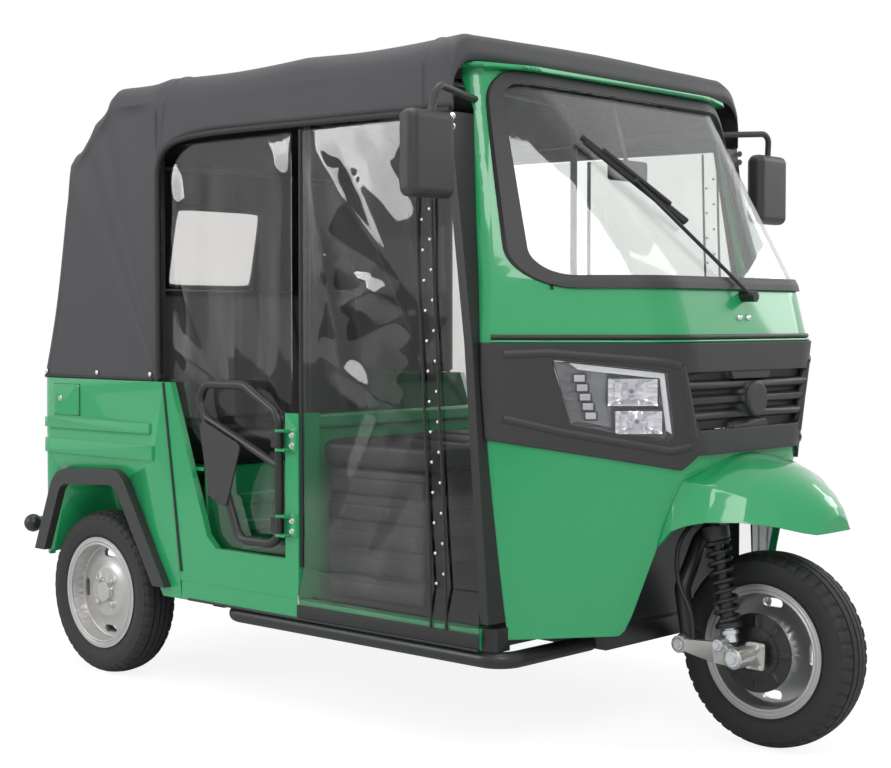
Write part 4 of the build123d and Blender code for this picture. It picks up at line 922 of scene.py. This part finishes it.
# Head lamps: tray, reflectors, a column of cells and a light guide behind the lens
LENS = skin_of("headlamp_lenses")
LAMP_EDGE = ((-0.516, 0.991), (-0.328, 0.960), (-0.294, 0.802), (-0.306, 0.786), (-0.478, 0.832))


def in_lamp(y, z, depth):
    """Point and outward normal at a depth behind the lens."""
    hit, normal = from_front(LENS, y, z)
    if hit is None:
        hit, normal = LENS.find_nearest(Vector((lerp(0.75, 0.99, (y + 0.516) / 0.222), y, z)))[:2]
    flat = Vector((normal.x, normal.y, 0)).normalized()
    return hit - flat * depth, flat


def inset_edge(share, steps):
    """Lamp outline drawn in towards its middle, in steps along each side."""
    middle = Vector((sum(y for y, _ in LAMP_EDGE) / 5, sum(z for _, z in LAMP_EDGE) / 5))
    points = []
    for i, start in enumerate(LAMP_EDGE):
        end = Vector(LAMP_EDGE[(i + 1) % 5])
        for j in range(steps):
            points.append(Vector(start).lerp(end, j / steps).lerp(middle, share))
    return points


def lamp_tray():
    bm = bmesh.new()
    rings = []
    for share, depth in ((0.02, 0.0045), (0.04, 0.020), (0.16, 0.030), (0.5, 0.034), (0.9, 0.034)):
        rings.append([bm.verts.new(in_lamp(y, z, depth)[0]) for y, z in inset_edge(share, 8)])
    for inner, outer in zip(rings, rings[1:]):
        for i, vert in enumerate(inner):
            j = (i + 1) % len(inner)
            bm.faces.new((vert, inner[j], outer[j], outer[i]))
    bm.faces.new(rings[-1])
    return bm


Cell = namedtuple("Cell", "y z wide high depth")
REFLECTORS = (Cell(-0.380, 0.910, 0.120, 0.066, 0.026), Cell(-0.362, 0.836, 0.114, 0.056, 0.026))
LED_CELLS = [Cell(lerp(-0.468, -0.443, i / 4), lerp(0.944, 0.852, i / 4), 0.026, 0.016, 0.020)
             for i in range(5)]


def cell_place(cell):
    at, out = in_lamp(cell.y, cell.z, cell.depth)
    side = Vector((0, 0, 1)).cross(out).normalized()
    return Matrix(((side.x, 0, out.x, at.x), (side.y, 0, out.y, at.y), (side.z, 1, out.z, at.z),
                   (0, 0, 0, 1)))


def lamp_bowls():
    """Rectangular dishes with a round middle."""
    bm = bmesh.new()
    for cell in REFLECTORS:
        part = bmesh.new()
        bmesh.ops.create_grid(part, x_segments=24, y_segments=16, size=0.5)
        for vert in part.verts:
            u, v = vert.co.x * 2, vert.co.y * 2
            dish = 0.022 * min(1.0, max(abs(u), abs(v)) ** 2) - 0.012 * math.exp(-(u * u + v * v) * 6)
            ridge = 0.0030 * abs(math.sin(u * 9.5)) + 0.0016 * abs(math.sin(v * 5))
            vert.co = cell_place(cell) @ Vector((vert.co.x * cell.wide, vert.co.y * cell.high, dish + ridge))
        take_in(bm, part)
    return bm


def lamp_cells():
    bm = bmesh.new()
    for cell in LED_CELLS:
        made = bmesh.ops.create_cube(bm, size=1.0)
        bmesh.ops.transform(bm, matrix=cell_place(cell) @ Matrix.Diagonal((cell.wide, cell.high, 0.012, 1)),
                            verts=made["verts"])
    outer = [bm.verts.new(in_lamp(y, z, 0.007)[0]) for y, z in inset_edge(0.05, 8)[1:17]]
    inner = [bm.verts.new(in_lamp(y, z, 0.012)[0]) for y, z in inset_edge(0.17, 8)[1:17]]
    for i in range(len(outer) - 1):
        bm.faces.new((outer[i], outer[i + 1], inner[i + 1], inner[i]))
    add_tube(bm, [vert.co.copy() for vert in inner], 0.0030)
    return bm


def painted_lamp_shade():
    """Dark rims round the dishes and the cells: painted shade in the gaps between them."""
    bm = bmesh.new()
    for cell in list(REFLECTORS) + LED_CELLS:
        place = cell_place(cell)
        w, h = cell.wide / 2 + 0.002, cell.high / 2 + 0.002
        corners = ((-1, -1), (1, -1), (1, 1), (-1, 1))
        add_tube(bm, [place @ Vector((x * w, y * h, 0.020)) for x, y in corners], 0.0022, cyclic=True)
    return bm


# The last row adds dark rims round the dishes and cells as painted shade.
for make, name, finish_name, slot_name in ((lamp_tray, "lamp_tray", "lamp_shell", "lamp_reflector"),
                                           (lamp_bowls, "lamp_dishes", "lamp_chrome", "lamp_reflector"),
                                           (lamp_cells, "lamp_guides", "lamp_guide", "lamp_lens"),
                                           (painted_lamp_shade, "lamp_shade_rims", "lamp_shadow", "lamp_reflector")):
    bm = make()
    mirrored(bm)
    to_piece(bm, name, finish_name, stands_for=["headlamp_housings"], smooth=40,
             outward=name != "lamp_dishes")

# Trim on the front: bead and lip under the cowl, creases over, under and beside the lamps
COWL, MASK = skin_of("front_cowl"), skin_of("nose_mask")


def proud_of(skin, y, z, out):
    """Point a little off a front panel's skin, or None."""
    hit, normal = from_front(skin, y, z)
    return hit + normal * out if hit else None


for name, lift, out, thick, finish_name, slot_name in (
        ("cowl_bead", 0.014, 0.001, 0.0065, "seal_rubber", "rubber"),
        ("cowl_lip", 0.003, 0.004, 0.0035, "green_enamel", "green_paint")):
    bead = bmesh.new()
    track = [proud_of(COWL, lerp(-0.600, 0.600, i / 60), MASK_TOP + lift, out) for i in range(61)]
    add_tube(bead, [spot for spot in track if spot], thick)
    to_piece(bead, name, finish_name, smooth=60)
crease = bmesh.new()
for side in (-1, 1):
    for line_points in (((0.590, 1.002), (0.520, 1.006), (0.330, 0.982), (0.296, 0.972)),
                        ((0.296, 0.972), (0.268, 0.880), (0.246, 0.786)),
                        ((0.590, 0.846), (0.490, 0.812), (0.300, 0.764), (0.250, 0.776))):
        track = []
        for (y0, z0), (y1, z1) in zip(line_points, line_points[1:]):
            for i in range(12):
                track.append(proud_of(MASK, side * lerp(y0, y1, i / 12), lerp(z0, z1, i / 12), -0.0095))
        add_tube(crease, [spot for spot in track if spot], 0.0145)
to_piece(crease, "mask_creases", "moulded_charcoal", smooth=60)

# Piping on the tub and under the sill, outline of the filler's lid, ends of the sills, mirror glass
SILL_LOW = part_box("sills")[0][2]
piping = bmesh.new()
for side in (-1, 1):
    add_tube(piping, [(-0.589, side * 0.6415, 0.903), (-0.509, side * 0.6415, 0.357)], 0.004)
    add_tube(piping, [(-0.480, side * 0.638, 0.279), (0.640, side * 0.638, 0.279)], 0.0045)
    lid = ((-1.138, 0.791), (-1.006, 0.791), (-1.006, 0.887), (-1.138, 0.887))
    add_tube(piping, [(x, side * 0.6405, z) for x, z in lid], 0.0016, cyclic=True)
    caps = []
    for x, y in ((0.640, 0.626), (0.677, 0.610), (0.677, 0.564), (0.640, 0.580)):
        for z in (SILL_LOW - 0.002, SILL_TOP + 0.002):
            caps.append(piping.verts.new((x, side * y, z)))
    bmesh.ops.convex_hull(piping, input=caps)
to_piece(piping, "body_piping", "seal_rubber", smooth=40, merge=0)
glasses = bmesh.new()
for y in (-0.758, 0.758):
    add_box(glasses, (0.5508, y - 0.064, 1.394), (0.5525, y + 0.064, 1.570), 0.0006, 1)
to_piece(glasses, "mirror_glasses", "mirror_silver", smooth=30)

# Wiper blade, strips over the slots in the cowl's cheeks, a dark plate behind the grille as painted shade
SCREEN_X, SCREEN_Z, SCREEN_RAKE = 0.955, 1.180, 0.687
SCREEN_NORMAL = Vector((0.824, 0.0, 0.566))


def on_glass(y, z, out):
    """Point proud of the windscreen."""
    return Vector((SCREEN_X - SCREEN_RAKE * (z - SCREEN_Z), y, z)) + SCREEN_NORMAL * out


blade = bmesh.new()
for y0, z0, y1, z1, out, thick in ((-0.345, 1.536, -0.088, 1.330, 0.016, 0.0085),
                                   (-0.300, 1.500, -0.135, 1.368, 0.026, 0.0065)):
    add_tube(blade, [on_glass(lerp(y0, y1, i / 8), lerp(z0, z1, i / 8), out) for i in range(9)], thick)
to_piece(blade, "wiper_blade", "seal_rubber", smooth=60)
cheeks = bmesh.new()
for side in (-1, 1):
    rows = []
    for i in range(12):
        z = lerp(MASK_TOP + 0.001, 1.160, i / 11)
        ends = [from_front(COWL, side * y, z) for y in (0.540, 0.470)]
        if ends[0][0] and ends[1][0]:
            out = ends[0][1] * 0.0003
            rows.append([cheeks.verts.new(ends[0][0].lerp(ends[1][0], share) + out)
                         for share in (0.20, 0.80)])
    for a, b in zip(rows, rows[1:]):
        cheeks.faces.new((a[0], a[1], b[1], b[0]))
to_piece(cheeks, "cowl_cheeks", "green_enamel", smooth=60)
# Dark plate behind the grille: painted shade that closes the view through the grille into the nose.
low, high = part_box("grille")
shade_plate = bmesh.new()
add_box(shade_plate, (high[0] - 0.070, low[1] + 0.004, low[2] + 0.003),
        (high[0] - 0.067, high[1] - 0.004, high[2] - 0.003))
to_piece(shade_plate, "grille_shade_plate", "lamp_shadow", merge=0)

# Rolled rings of the wheels
def wheel_rings(name, hub, body, outside):
    rings = bmesh.new()
    for side in outside:
        for reach, out, thick in ((0.1500, 0.0500, 0.0042), (0.1600, 0.0510, 0.0030)):
            turns = [math.pi * i / 36 for i in range(72)]
            add_tube(rings, [hub + Vector((reach * math.cos(turn), side * out, reach * math.sin(turn)))
                             for turn in turns], thick, cyclic=True)
    to_piece(rings, name, "wheel_silver", body, smooth=60)


wheel_rings("front_rings", FRONT_AXLE, "front_wheel", (-1, 1))
for label, side in SIDES:
    wheel_rings("rear_rings_" + label, REAR_HUBS[label], "rear_wheel_" + label, (side,))

# Fasteners
bolts = bmesh.new()
for side in (-1, 1):
    for z in (0.761, 0.529):
        for lift in (-0.014, 0.014):
            add_bolt(bolts, (B_POST_X + 0.008, side * (BODY_HALF + 0.0062), z + lift), (0, side, 0), 0.006,
                     0.007)
    add_bolt(bolts, (-1.105, side * 0.6442, 0.842), (0, side, 0), 0.006, 0.004)
    for z in (1.585, 1.560):
        add_bolt(bolts, (0.556, side * 0.6402, z), (0, side, 0), 0.006, 0.006)
for y in (-0.020, 0.020):
    add_stud(bolts, *from_front(COWL, y, 1.092), 0.009, 0.009)
to_piece(bolts, "body_bolts", "bright_steel", smooth=40)
